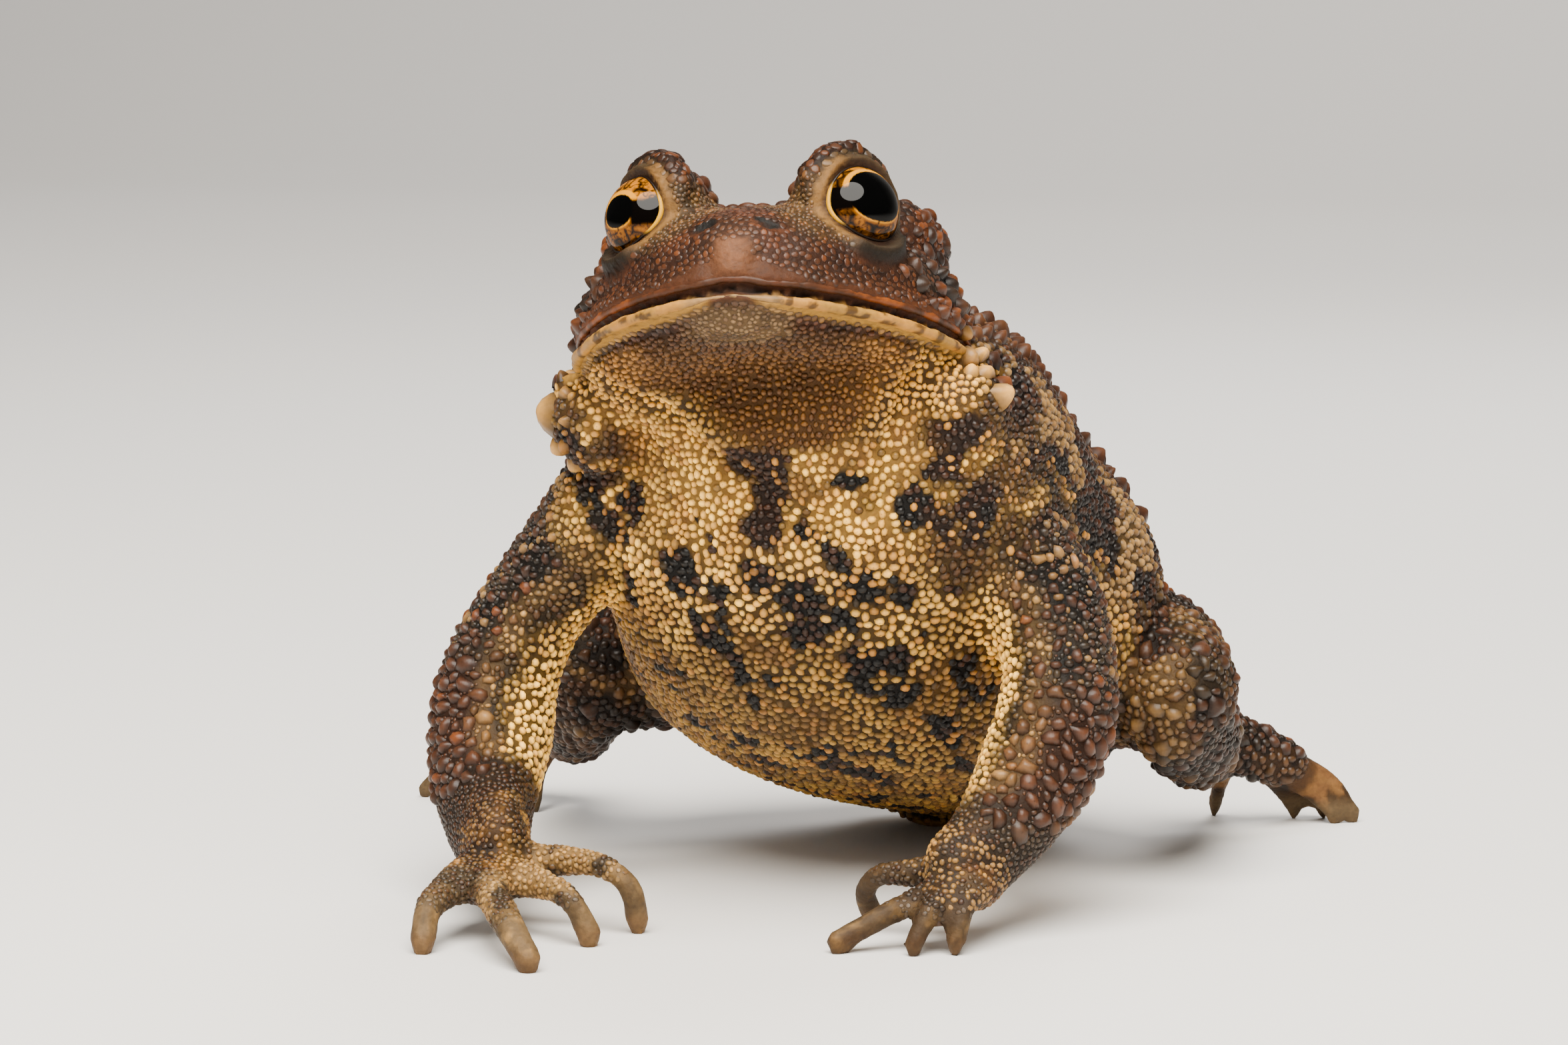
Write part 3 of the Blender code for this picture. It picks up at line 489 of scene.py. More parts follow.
def sculpt(points, normals):
    # strokes along the normal: mouth line, lips, chin, nostrils, lids, crests, throat, fold and wrinkles
    local = toHead(points)
    u, v, w = local.T
    side = np.abs(u)
    fade = np.clip((25 - v) / 3, 0, 1) * (v < 24.5) * (np.abs(w) < 6)
    line = w - mouthHeight(u)
    shift = fade * (0.3 * bump(line - 1.3, 0.8) - bump(line, 0.38)
                    + 0.62 * bump(line + 0.95, 0.55) - 0.45 * bump(line + 2, 0.7))
    shift -= 0.22 * fade * bump(line - 2.9, 0.5) * ramp(side, 3, 6)
    nostril = nostrilAway(local)
    shift += -0.6 * bump(nostril, 0.9) + 0.08 * bump(nostril - 2.2, 0.8)
    shift += 0.75 * bump(ovalAway(local, *face["snoutTip"]), 2.1)
    shift -= 0.3 * bump(side - 1 - 0.42 * w, 0.5) * ramp(w, 0.2, 1.2) * ramp(w, 4.6, 3) * (v < 6)
    shift -= 0.25 * bump(side - 4.4, 1.1) * bump(w - 5.2, 2.2) * (v < 8)
    chin = ovalAway(local, *face["chin"])
    shift += 0.85 * bump(chin, 1.4)
    shift += 0.16 * bump(chin, 2.2) * (layered(points, 0.9, 31) - 0.5) * 2
    shift -= 1.6 * bump(ovalAway(local, *face["throat"]), 1) * (w < -1)
    fold = throatFold(u, v)
    shift += (-0.8 * bump(fold, 1.1) + 0.35 * bump(fold + 2.2, 1.1)) * (w < -3) * (side < 15)
    lump = layered(points, 1.7, 33) - 0.45
    for sign in sideNames:
        ring, reach, up, nose = eyePlace(local, sign)
        around = (np.linalg.norm(local - eyeCenter(sign), axis=1) < 7.4) & (reach > -1.5)
        upper = ramp(up, -1, 2)
        lower = ramp(up, -0.3, -2.4) * ramp(nose, 3.6, 1.8)
        shift += around * bump(ring - 4.3, 0.6) * (0.18 + 0.32 * upper)
        shift -= around * bump(ring - 5, 0.35) * 0.3 * upper
        shift += around * bump(ring - 4.8, 0.85) * 0.9 * lower
        shift -= around * bump(ring - 6.3, 0.5) * 0.4 * lower
        shift += around * ramp(ring, 5.2, 5.9) * upper * (0.9 * lump)
        # crests: one beside the lid and one across behind it
        outward = u * sign
        crest = (0.5 + 0.8 * lump) * bump(np.abs(outward - 4.9 - 0.05 * (v - 10)), 0.9)
        shift += crest * np.clip((v - 5) / 3, 0, 1) * np.clip((21 - v) / 3, 0, 1) * (w > 7)
        length = np.clip((outward - 4.5) / 1.5, 0, 1) * np.clip((14.5 - outward) / 2, 0, 1)
        shift += 0.5 * bump(np.abs(v - 16.2), 0.9) * length * (w > 7)
    shift += 0.22 * (layered(points, 2.4, 35) - 0.5)  # soft creases everywhere
    return points + normals * shift[:, None]


skinBuild = {
    "voxel": 0.512,
    "softening": 5,  # rounds
    "inset": 0.25,  # the granules stand on the skin, so it is drawn in by this
    "tipHeight": 1.3,  # under it the finger and toe tips draw in to small feet
    "tipInset": 0.55,
    "tipFlat": 0.5,
}


def buildSkin():
    points, faces = meltForms(gatherForms(), skinBuild["voxel"], skinBuild["softening"])
    points = sculpt(points, vertexNormals(points, faces))
    points -= vertexNormals(points, faces) * skinBuild["inset"]
    low = points[:, 2]
    foot = skinBuild["tipInset"] * np.clip(1 - low / skinBuild["tipHeight"], 0, 1) ** 1.5
    points[:, :2] -= vertexNormals(points, faces)[:, :2] * foot[:, None]
    tipFlat = skinBuild["tipFlat"]
    points[:, 2] = np.where(low < 2 * tipFlat, np.maximum(low - tipFlat, 0) * 2, low)
    return points, faces, vertexNormals(points, faces)


skinPoints, skinFaces, skinNormals = buildSkin()
print("skin", len(skinPoints), "points")


# colours and markings

palette = {  # sRGB, 0 to 255
    "cream": (255, 196, 84), "creamDeep": (176, 120, 46), "flankCream": (176, 134, 74),
    "creamPale": (198, 146, 72), "pink": (126, 82, 54), "tan": (96, 64, 34), "taupe": (126, 98, 62),
    "brown": (58, 31, 14), "redBrown": (76, 39, 19), "umber": (36, 20, 9), "black": (12, 9, 6),
    "orange": (142, 72, 20), "wart": (70, 40, 24), "grey": (44, 34, 23), "olive": (98, 62, 18),
    # the next line holds, after lipCream, the painted shade tone laid between the granules
    "lipCream": (142, 103, 40), "gapShade": (38, 20, 6), "greyTan": (82, 66, 44),
}
blotches = [  # x, y, z, radius: dark brown patches on the chest
    (2.3, 11.4, 41.8, 2.6), (-0.2, 12.2, 42.2, 2.2), (1.8, 12, 39, 2.3), (1.3, 13, 36, 2.2),
]
spots = [  # x, y, z, radius: black groups on the chest sides and the belly
    (15.3, 13.8, 38.2, 1.9), (17.4, 15.1, 41.8, 1.6), (18.2, 16.8, 45.2, 2.2), (20.1, 17.9, 38.3, 2),
    (-12.8, 18.7, 37.2, 1.7), (-16.8, 19.4, 39.3, 2.2), (-15.2, 19.5, 34.6, 2), (0.3, 14.4, 31.4, 1.7),
    (4.2, 15.1, 29.6, 2), (9.8, 15.1, 30.6, 1.8), (-7.6, 16.4, 31.3, 2.2), (11.1, 20.5, 23.5, 1.8),
    (3.7, 17.3, 25.8, 1.6), (8.7, 19.9, 23.4, 2), (11.1, 23.9, 19.9, 1.8), (18.5, 20, 50, 2.4),
    (-18, 16, 42, 2.2), (-9, 14.5, 41.5, 1.2), (9.5, 12.5, 41, 1.2),
]


def tone(name):
    value = np.array(palette[name]) / 255
    return np.where(value < 0.04045, value / 12.92, ((value + 0.055) / 1.055) ** 2.4)


def mix(color, name, weight):
    target = tone(name) if isinstance(name, str) else name
    return color + (target - color) * np.clip(weight, 0, 1)[:, None]


def brushes(points, color):
    # three tools for colours changed in place: lay a tone on by a weight, darken by a weight, and the
    # weight of a noise patch
    def lay(name, weight):
        color[:] = mix(color, name, weight)

    def dim(weight):
        color[:] *= (1 - weight)[:, None]

    def patches(scale, seed, low, high):
        return ramp(layered(points, scale, seed), low, high)

    return lay, dim, patches


def markWeight(place, marks, ragged, outer, inner):
    # strongest of the round marks, each full inside its radius and ragged at its edge
    weight = np.zeros(len(place.points))
    for *spot, radius in marks:
        away = np.linalg.norm(place.points - spot, axis=1) + ragged * (place.fine - 0.5)
        weight = np.maximum(weight, ramp(away, radius * outer, radius * inner))
    return weight


def paintTrunk(place, lay, dim, patches):
    # brown mottling, brown back, pale netted flanks, cream belly with black groups and chest patches
    x, y, z = place.points.T
    u, v, w = place.local.T
    coarse, middle = place.coarse, place.middle
    lay("brown", ramp(coarse, 0.44, 0.6) * 0.8)
    under = place.under + 0.3 * (coarse - 0.5)
    flank = place.trunk * ramp(under, -0.62, -0.38)
    lay("flankCream", flank * patches(3.4, 13, 0.5, 0.56))
    lay("black", flank * patches(3.4, 13, 0.53, 0.48) * 0.8)
    back = place.trunk * ramp(under, -0.5, -0.72)
    lay("tan", back * patches(4.5, 61, 0.42, 0.56) * 0.7)
    lay("umber", back * patches(5, 62, 0.53, 0.58) * 0.9)
    lay("flankCream", back * bump(x - 2.9 + 1.6 * (coarse - 0.5), 0.9) * 0.75)
    # painted shade: the flanks darkened by almost half, as they lie in shade
    dim(0.45 * flank)
    belly = place.trunk * ramp(under - 0.2 * ramp(y, 34, 46), 0.02, 0.32)
    lay("cream", belly)
    lay("creamDeep", belly * ramp(middle, 0.45, 0.65) * 0.7)
    lay("tan", belly * patches(7, 63, 0.5, 0.62) * 0.45)
    lay("pink", belly * ramp(z, 36, 42) * ramp(coarse, 0.45, 0.6) * 0.45)
    dark = belly * patches(2.8, 7, 0.6, 0.63) * ramp(z, 44, 36)
    grouped = markWeight(place, spots, 2.4, 1.25, 1) * np.maximum(place.trunk, place.arm)
    lay("black", np.maximum(dark, grouped))
    jawSide = ramp(np.abs(u), 11.5, 14.5) * ramp(w, -2.2, -3.6) * ramp(v, 29, 25)
    lay("umber", jawSide * ramp(middle, 0.34, 0.46) * 0.9)
    # painted shade: the belly darkened more the lower it lies
    dim(0.62 * belly * ramp(z, 34, 20))
    lay("umber", markWeight(place, blotches, 1.8, 1.2, 0.85))


def paintHead(place, lay, dim, patches):
    # red-brown scales, black cheeks with an orange streak, olive throat, both lips, chin pad, nostrils
    u, v, w = place.local.T
    head, side, lip = place.head, np.abs(u), w - mouthHeight(u)
    coarse, middle, fine = place.coarse, place.middle, place.fine
    lay("brown", head)
    lay("redBrown", head * patches(1.8, 15, 0.42, 0.6) * 0.7)
    lay("umber", head * ramp(middle, 0.5, 0.64) * 0.55)
    cheek = head * ramp(side, 9.5, 12.5) * ramp(w, 7.5, 5) * ramp(v, 9, 13)
    lay("grey", cheek * 0.9)
    dim(0.25 * cheek)
    lay("black", cheek * ramp(middle, 0.46, 0.56) * 0.8)
    streak = head * ramp(side, 8.5, 10.5) * ramp(w, 3, 5.5) * ramp(v, 14.5, 17)
    lay("black", streak * 0.8)
    lay("orange", streak * bump(layered(place.points, 2.6, 17) - 0.5, 0.045) * 0.5)
    below = head * ramp(w, -1.9, -2.8) * ramp(v, 26, 24)
    lay("olive", below)
    lay("umber", below * ramp(v, 10, 3) * 0.65)
    lay("cream", below * ramp(throatFold(u, v), -3.5, 0) * 0.9)
    lay("creamDeep", below * ramp(side, 8, 12) * 0.6)
    upper = head * ramp(np.abs(lip - 1.5), 1.9, 1) * (v < 24)
    lay("brown", upper)
    lay("redBrown", upper * ramp(lip, 1.6, 0.4) * 0.6)
    lay("orange", upper * ramp(v, 7, 14) * ramp(coarse, 0.4, 0.6) * 0.28)
    lay("umber", upper * patches(1.6, 19, 0.56, 0.68) * 0.5)
    lower = head * ramp(np.abs(lip + 0.9), 0.7, 0.45) * ramp(v, 24.5, 22.5) * ramp(side, 1.5, 3)
    lay("lipCream", lower)
    lay("umber", lower * ramp(fine, 0.62, 0.72) * 0.8)
    # painted highlight: a paler pinkish patch on the snout tip, where its sheen shows
    lay("pink", head * bump(ovalAway(place.local, *face["snoutShine"]), 0.8) * 0.6)
    chin = head * ramp(ovalAway(place.local, *face["chin"]) + 0.7 * (fine - 0.5), 2.1, 1)
    lay("taupe", chin * 0.9)
    lay("umber", chin * (0.22 + 0.4 * ramp(fine, 0.54, 0.66)))
    # painted shade: black along the mouth line, in the crease between the lips
    lay("black", head * bump(lip, 0.36) * (v < 24.5) * 0.9)
    # painted shade: black in the nostril hollows, where the openings lie in shade
    lay("black", head * ramp(nostrilAway(place.local - face["nostrilShadeShift"]), 2, 1.2))


def paintLids(place, lay, dim, patches):
    # brown lids with a dark inner edge, a pale speckled patch on the nose side, black under the eye
    v = place.local[:, 1]
    for sign in sideNames:
        ring, reach, up, nose = eyePlace(place.local, sign)
        around = (np.linalg.norm(place.local - eyeCenter(sign), axis=1) < 8) * (reach > -2)
        lid = around * ramp(up, 0, 1.5)
        lay("brown", lid * 0.95)
        lay("umber", lid * patches(1.3, 25, 0.4, 0.58) * 0.7)
        socket = (reach > -4.5) * ramp(nose, 2.2, 3.6) * ramp(ring, 9, 6.6) * (v < 13)
        socket = socket * ramp(up, 3.4, 1.4) * ramp(up, -5, -2.6)
        lay("taupe", socket * 0.55)
        lay("creamDeep", socket * patches(0.8, 28, 0.52, 0.62) * 0.3)
        lay("umber", socket * patches(0.7, 27, 0.54, 0.62) * 0.6)
        lay("greyTan", around * ramp(np.abs(ring - 4.6), 0.9, 0.5) * 0.8)
        lay("creamDeep", around * ramp(ring, 5.4, 4.6) * ramp(nose, 1, 3) * 0.35)
        dim(0.52 * around * ramp(up, 0.4, 2) * ramp(nose, 3.4, 1.6))
        dim(0.34 * (reach > -4.5) * ramp(nose, 1.4, 3.4) * ramp(ring, 9, 7) * (v < 13))
        lay("umber", around * ramp(ring, 4.3, 3.9) * 0.9)
        lay("black", around * bump(ring - 5, 1.3) * ramp(up, 0.5, -1.4) * ramp(nose, 3.4, 1.8) * 0.95)


def paintArms(place, lay, dim, patches):
    # cream inside, black and grey outside with a ragged edge between, tan hands with grey and smooth tips
    x, y, z = place.points.T
    coarse, middle, fine = place.coarse, place.middle, place.fine
    arm, along, finger, tip, onRight = place.arm, place.along, place.finger, place.tip, x < 0
    outer = (place.outer + 0.6 * (coarse - 0.5) + 0.45 * (middle - 0.5)
             + 0.1 * onRight * ramp(along, 0.55, 0.4))
    outside = arm * ramp(outer, 0.02, 0.22)
    lay("grey", outside)
    lay("black", outside * ramp(middle, 0.46, 0.54) * 0.75)
    lay("brown", outside * ramp(along, 0.46, 0.56) * 0.8)
    lay("cream", arm * ramp(outer, 0.1, -0.1))
    lay("flankCream", arm * bump(outer - 0.22, 0.22) * 0.6)
    lay("black", arm * bump(outer - 0.02, 0.34) * patches(2.3, 9, 0.49, 0.54) * 0.9)
    hand = place.hand * ramp(y, 36, 34)
    lay("tan", hand * 0.75)
    lay("creamDeep", hand * ramp(fine, 0.52, 0.62) * 0.7)
    lay("grey", hand * ramp(middle, 0.45, 0.55) * 0.85)
    wrist = arm * ramp(along, 0.72, 0.79) * ramp(along, 0.97, 0.9)
    lay("grey", wrist * 0.85)
    lay("greyTan", finger * 0.85)
    lay("grey", finger * ramp(middle, 0.5, 0.62) * 0.7)
    innerFingers = place.hand * ramp(z, 2.6, 4.2) * onRight * ramp(x, -20.5, -18.5)
    lay("flankCream", innerFingers * ramp(middle, 0.62, 0.48) * 0.65)
    lay("greyTan", tip * 0.9)
    lay("taupe", tip * onRight * 0.25)
    lay("flankCream", tip * ramp(fine, 0.54, 0.7) * 0.35)
    lay("grey", tip * patches(1.4, 64, 0.46, 0.6) * 0.55)
    lay("tan", tip * ramp(z, 2.6, 1) * 0.35)
    stain = 0.4 * ramp(coarse, 0.42, 0.56)
    lay("umber", np.maximum(hand, wrist) * (1 - finger) * onRight * (0.3 + stain))
    lay("umber", finger * (x > 0) * (0.15 + stain))


def paintLegs(place, lay, dim, patches):
    # tan with pale and black patches
    z = place.points[:, 2]
    leg = np.maximum(place.leg, place.toe)
    lay("tan", leg * 0.75)
    lay("flankCream", leg * patches(4, 12, 0.52, 0.6) * 0.5)
    lay("tan", leg * ramp(z, 14, 9) * 0.7)
    lay("black", leg * patches(3, 11, 0.48, 0.54) * 0.8)
    # painted shade: the legs darkened by half, as they lie in shade
    dim(0.52 * place.leg)
    lay("greyTan", place.toe * ramp(z, 3, 1.5) * 0.8)


def skinColor(place):
    # soft layers of the palette, each laid on by a weight made of where the point is and seeded noise
    grainSizes = ((6, 1), (2.6, 2), (1.1, 4))  # scale, seed
    place.coarse, place.middle, place.fine = (layered(place.points, *size) for size in grainSizes)
    color = np.tile(tone("umber"), (len(place.points), 1))
    brush = brushes(place.points, color)
    for paint in (paintTrunk, paintHead, paintLids, paintArms, paintLegs):
        paint(place, *brush)
    return color


# granules: small domes over the skin

grain = {
    "seed": 11,
    "samples": 480000,
    "sides": 7,
    "sink": 0.35,
    "wart": 0.5,  # radius from which a granule counts as a wart
    "pieceMost": 4000,
    # share of the radius, share of the height: for a dome, and for a cone
    "rings": ((1.1, -1), (0.88, 0.36), (0.56, 0.82), (0.18, 0.99)),
    "coneRings": ((1.12, -1), (0.76, 0.34), (0.44, 0.72), (0.15, 0.96)),
    "ringShadeAndHighlight": (0.16, 0.6, 1.1, 1.25),  # painted shade and highlight of each ring: dark at its foot, lighter than the granule's colour near its top
    # the same painted shade and highlight, weaker, for the flat scales of the head
    "scaleRingShadeAndHighlight": (0.45, 0.85, 1.05, 1.1),
}
grainKinds = {  # radius, height as a share of it, pointedness
    "back": (0.42, 0.6, 0.4), "flank": (0.44, 0.65, 0.2), "belly": (0.43, 0.62, 0.15),
    "chest": (0.37, 0.66, 0.2), "head": (0.36, 0.36, 0.15), "snout": (0.31, 0.14, 0),
    "throat": (0.3, 0.85, 0.1), "gular": (0.34, 0.7, 0.15), "chin": (0.24, 0.35, 0),
    "armIn": (0.38, 0.62, 0.1), "armOut": (0.34, 0.6, 0.3), "armFine": (0.2, 0.55, 0.1),
    "hand": (0.28, 0.48, 0.1), "leg": (0.42, 0.5, 0.2), "lid": (0.32, 0.15, 0), "socket": (0.22, 0.4, 0.1),
    "backWart": (0.56, 1.05, 0.75), "legWart": (0.6, 0.6, 0.5), "armWart": (0.47, 0.66, 0.5),
    "cheekWart": (0.45, 0.95, 0.85), "crownWart": (0.5, 0.55, 0.4), "browWart": (0.42, 0.5, 0.3),
}
tubercles = [  # x, y, z, radius: pale knobs behind the jaw corners
    (21.2, 19.5, 47.6, 1), (20.4, 19, 48.4, 0.75), (19.9, 19, 49.6, 0.72), (19, 18.5, 51.1, 0.72),
    (18.1, 18.5, 52.3, 0.62), (20.6, 20, 52, 0.6), (19.4, 19.5, 53.1, 0.55), (17.7, 18, 50.5, 0.52),
    (20, 18.5, 46.6, 0.6), (18.6, 18, 48.5, 0.6), (21.9, 20.5, 49.3, 0.6), (21.6, 20.6, 46.2, 0.8),
    (-19.3, 18.5, 47, 0.9), (-19.9, 18.5, 45.3, 1.1), (-18.6, 18.5, 44.1, 0.85), (-18.9, 18.5, 42.2, 0.75),
    (-17.8, 18.5, 40.6, 0.65), (-18.6, 18.5, 48.7, 0.58), (-17.4, 17, 46.4, 0.6), (-17.5, 17, 42.9, 0.52),
    (-16.8, 16.5, 44.7, 0.5), (-20.2, 20.5, 47.6, 0.7),
]
knobGrow, knobHeight, knobPeak = 1.36, 1, 0.45


def grainSize(place, chance):
    # radius, height and pointedness of a granule at each place, radius 0 where the skin is smooth
    u, v, w = place.local.T
    x, z = place.points[:, 0], place.points[:, 2]
    head, arm, leg, hand = place.head, place.arm, place.leg, place.hand
    under, along = place.under, place.along
    side = np.abs(u)
    size = np.zeros((3, len(u)))

    def lay(mask, kind, grow=0.0):
        on = mask > 0.5
        size[:, on] = np.array(grainKinds[kind])[:, None]
        size[0, on] += np.broadcast_to(grow, on.shape)[on]

    lay(np.ones(len(u)), "back")
    lay(ramp(under, -0.62, -0.4), "flank")
    lay(ramp(under, 0, 0.2), "belly")
    lay((1 - head) * ramp(under, -0.2, 0) * ramp(z, 33, 35), "chest")
    lay(head, "head")
    lay(head * (w < -2), "throat")
    lay(head * (w < -3) * (throatFold(u, v) > -2.5), "gular")
    lay(head * (v < 14) * (w > 1.6), "snout")
    lay(head * (ovalAway(place.local, *face["chin"]) < 1.5), "chin")
    lay(arm, "armIn")
    outerArm = arm * ramp(place.outer, -0.05, 0.15)
    lay(outerArm, "armOut")
    lay(leg, "leg")
    lay(hand, "hand")
    # warts among the small ones
    back = place.trunk * ramp(under, -0.5, -0.75)
    lay((chance < 0.03 + 0.09 * ramp(np.abs(x - 2.9), 8, 15)) * back, "backWart", 0.45 * ((chance * 131) % 1))
    lay((chance < 0.012) * leg, "legWart", 0.3 * (chance / 0.012))
    outerArm = outerArm * (1 - hand) * ramp(place.outer, 0.1, 0.35) * ramp(along, 0.86, 0.8) * ramp(z, 6, 8)
    low = ramp(along, 0.42, 0.55)
    grow = 0.34 * ((chance * 57) % 1) ** 2 * (0.4 + 0.6 * low)
    lay((chance < 0.08 + 0.44 * low) * outerArm, "armWart", grow)
    lay((chance > 0.72) * outerArm, "armFine")
    cheek = head * (side > 10.8) * (w < 6) * (w > -1.5) * (v > 11)
    lay((chance < 0.05) * cheek, "cheekWart", 0.35 * (chance / 0.05))
    lay((chance < 0.04) * head * (w > 7) * (v > 7), "crownWart", 0.45 * (chance / 0.04))
    lay((chance < 0.02) * head * (v > 8) * (v < 16) * (w > 3) * (w < 8) * (side > 8), "browWart", 0.15)
    # smooth skin: lips, snout tip, finger and toe tips, round the eyes, nostrils and what touches the floor
    lip = w - mouthHeight(u)
    edge = 1.5 + 1.5 * ramp(side, 7, 1.5) + 0.5 * (chance - 0.5)
    onLip = (lip > -1.35) & (lip < edge) & (v < 25)
    smooth = head * (onLip | ((v < 4) & (side < 1.7) & (w < 4.8) & (w > 0)))
    ragged = place.tip + 0.7 * (chance - 0.5) * (place.tip > 0.02)
    smooth = np.maximum.reduce([smooth, ragged, place.toe])
    for sign in sideNames:
        ring, reach, up, nose = eyePlace(place.local, sign)
        lay(head * (reach > -3.5) * (ring < 8.8) * (up > 0.5), "lid", 0.14 * (chance < 0.3))
        lay(head * (reach > -4) * (ring < 8.4) * (nose > 2.4) * (up < 2.4) * (up > -4.4), "socket")
        near = (ring < 4.8) | (ring < 6.3) & (up < -0.5) & (nose < 2.5)
        smooth = np.maximum(smooth, (reach > -2.5) & near)
    smooth = np.maximum.reduce([smooth, nostrilAway(place.local) < 2.1, z < 0.7])
    size[1] *= 1 - 0.75 * ramp(place.tip, 0, 0.5)
    size[0, smooth > 0.5] = 0
    return size


def tooNear(a, b):
    # granules may only just meet
    limit = (a[3] + b[3]) * (0.82 if min(a[3], b[3]) < grain["wart"] else 0.86)
    return (a[0] - b[0]) ** 2 + (a[1] - b[1]) ** 2 + (a[2] - b[2]) ** 2 < limit * limit


def cellsNear(cell, reach):
    return product(*(range(k - reach, k + reach + 1) for k in cell))


def thin(spots, radius, order):
    # goes through the spots in order and keeps those clear of all kept before, found by cells of 1 mm
    kept, cells = [], {}
    granules = np.column_stack([spots, radius]).tolist()
    for i in order.tolist():
        granule = granules[i]
        cell = [math.floor(k) for k in granule[:3]]
        wart = granule[3] >= grain["wart"]
        search = cellsNear(cell, 3 if wart else 1)
        if any(tooNear(granule, other) for key in search for other in cells.get(key, ())):
            continue
        kept.append(i)
        for key in cellsNear(cell, int(granule[3]) + 1 if wart else 0):
            cells.setdefault(key, []).append(granule)
    return np.array(kept)


def scatter(points, faces, normals):
    # area-weighted random points over the skin, thinned so that granules only just meet
    rng = np.random.default_rng(grain["seed"])
    tri = np.vstack([faces[:, [0, 1, 2]], faces[:, [0, 2, 3]]])
    a, b, c = (points[tri[:, i]] for i in range(3))
    area = np.linalg.norm(np.cross(b - a, c - a), axis=1)
    pick = tri[rng.choice(len(tri), grain["samples"], p=area / area.sum())]
    r1, r2 = np.sqrt(rng.random(len(pick)))[:, None], rng.random(len(pick))[:, None]
    weights = (1 - r1, r1 * (1 - r2), r1 * r2)
    spread, normal = (sum(values[pick[:, i]] * weights[i] for i in range(3)) for values in (points, normals))
    knobs = np.array(tubercles)
    nearest = [np.linalg.norm(points - knob[:3], axis=1).argmin() for knob in knobs]
    place = readPlace(np.vstack([points[nearest], spread]), np.vstack([normals[nearest], unit(normal)]))
    count = len(place.points)
    place.knob = 1.0 * (np.arange(count) < len(knobs))
    radius, height, peak = grainSize(place, rng.random(count))
    height *= rng.uniform(0.85, 1.15, count)
    radius *= rng.uniform(0.76, 1.18, count)
    first = slice(len(knobs))
    radius[first], height[first], peak[first] = knobs[:, 3] * knobGrow, knobHeight, knobPeak
    order = np.argsort(-radius + rng.random(count) * 0.12 - 2 * place.knob)
    kept = thin(place.points, radius, order[radius[order] > 0.05])
    part = SimpleNamespace(**{key: value[kept] for key, value in vars(place).items()})
    return part, radius[kept], height[kept] * radius[kept], peak[kept], rng


def grainShapes(part, radius, height, peak, rng):
    # dome: rings of falling radius and rising height about the skin normal, closed by an apex
    count, sides = len(radius), grain["sides"]
    center, normal = part.points, part.normal
    tangent = unit(np.cross(np.where(np.abs(normal[:, 2:]) < 0.9, [[0, 0, 1.0]], [[1.0, 0, 0]]), normal))
    other = np.cross(normal, tangent)
    turn = rng.random((count, 1)) * math.pi + fullTurn(sides)[None]
    stretch = rng.uniform(0.82, 1.2, (count, 1, 1))
    wobble = rng.uniform(-0.13, 0.13, (count, 1, sides)) * (1 + 1.6 * ramp(radius, 0.48, 0.62))[:, None, None]
    share = peak[:, None, None]
    rings = np.array(grain["rings"]) * (1 - share) + np.array(grain["coneRings"]) * share
    reach = rings[:, :, 0, None] * radius[:, None, None] * (1 + wobble)
    rise = rings[:, :, 1] * height[:, None]
    rise[:, 0] = -grain["sink"] * radius
    circle = np.stack([np.cos(turn), np.sin(turn)], -1)[:, None]
    x, y = reach * circle[..., 0] * stretch, reach * circle[..., 1] / stretch
    points = (center[:, None, None] + tangent[:, None, None] * x[..., None]
              + other[:, None, None] * y[..., None] + normal[:, None, None] * rise[:, :, None, None])
    points = np.concatenate([points.reshape(count, -1, 3), (center + normal * height[:, None])[:, None]], 1)
    seenFromAbove = (rings[:, :, 0, None, None] * circle).reshape(count, -1, 2)
    return points, np.concatenate([seenFromAbove, np.zeros((count, 1, 2))], 1)


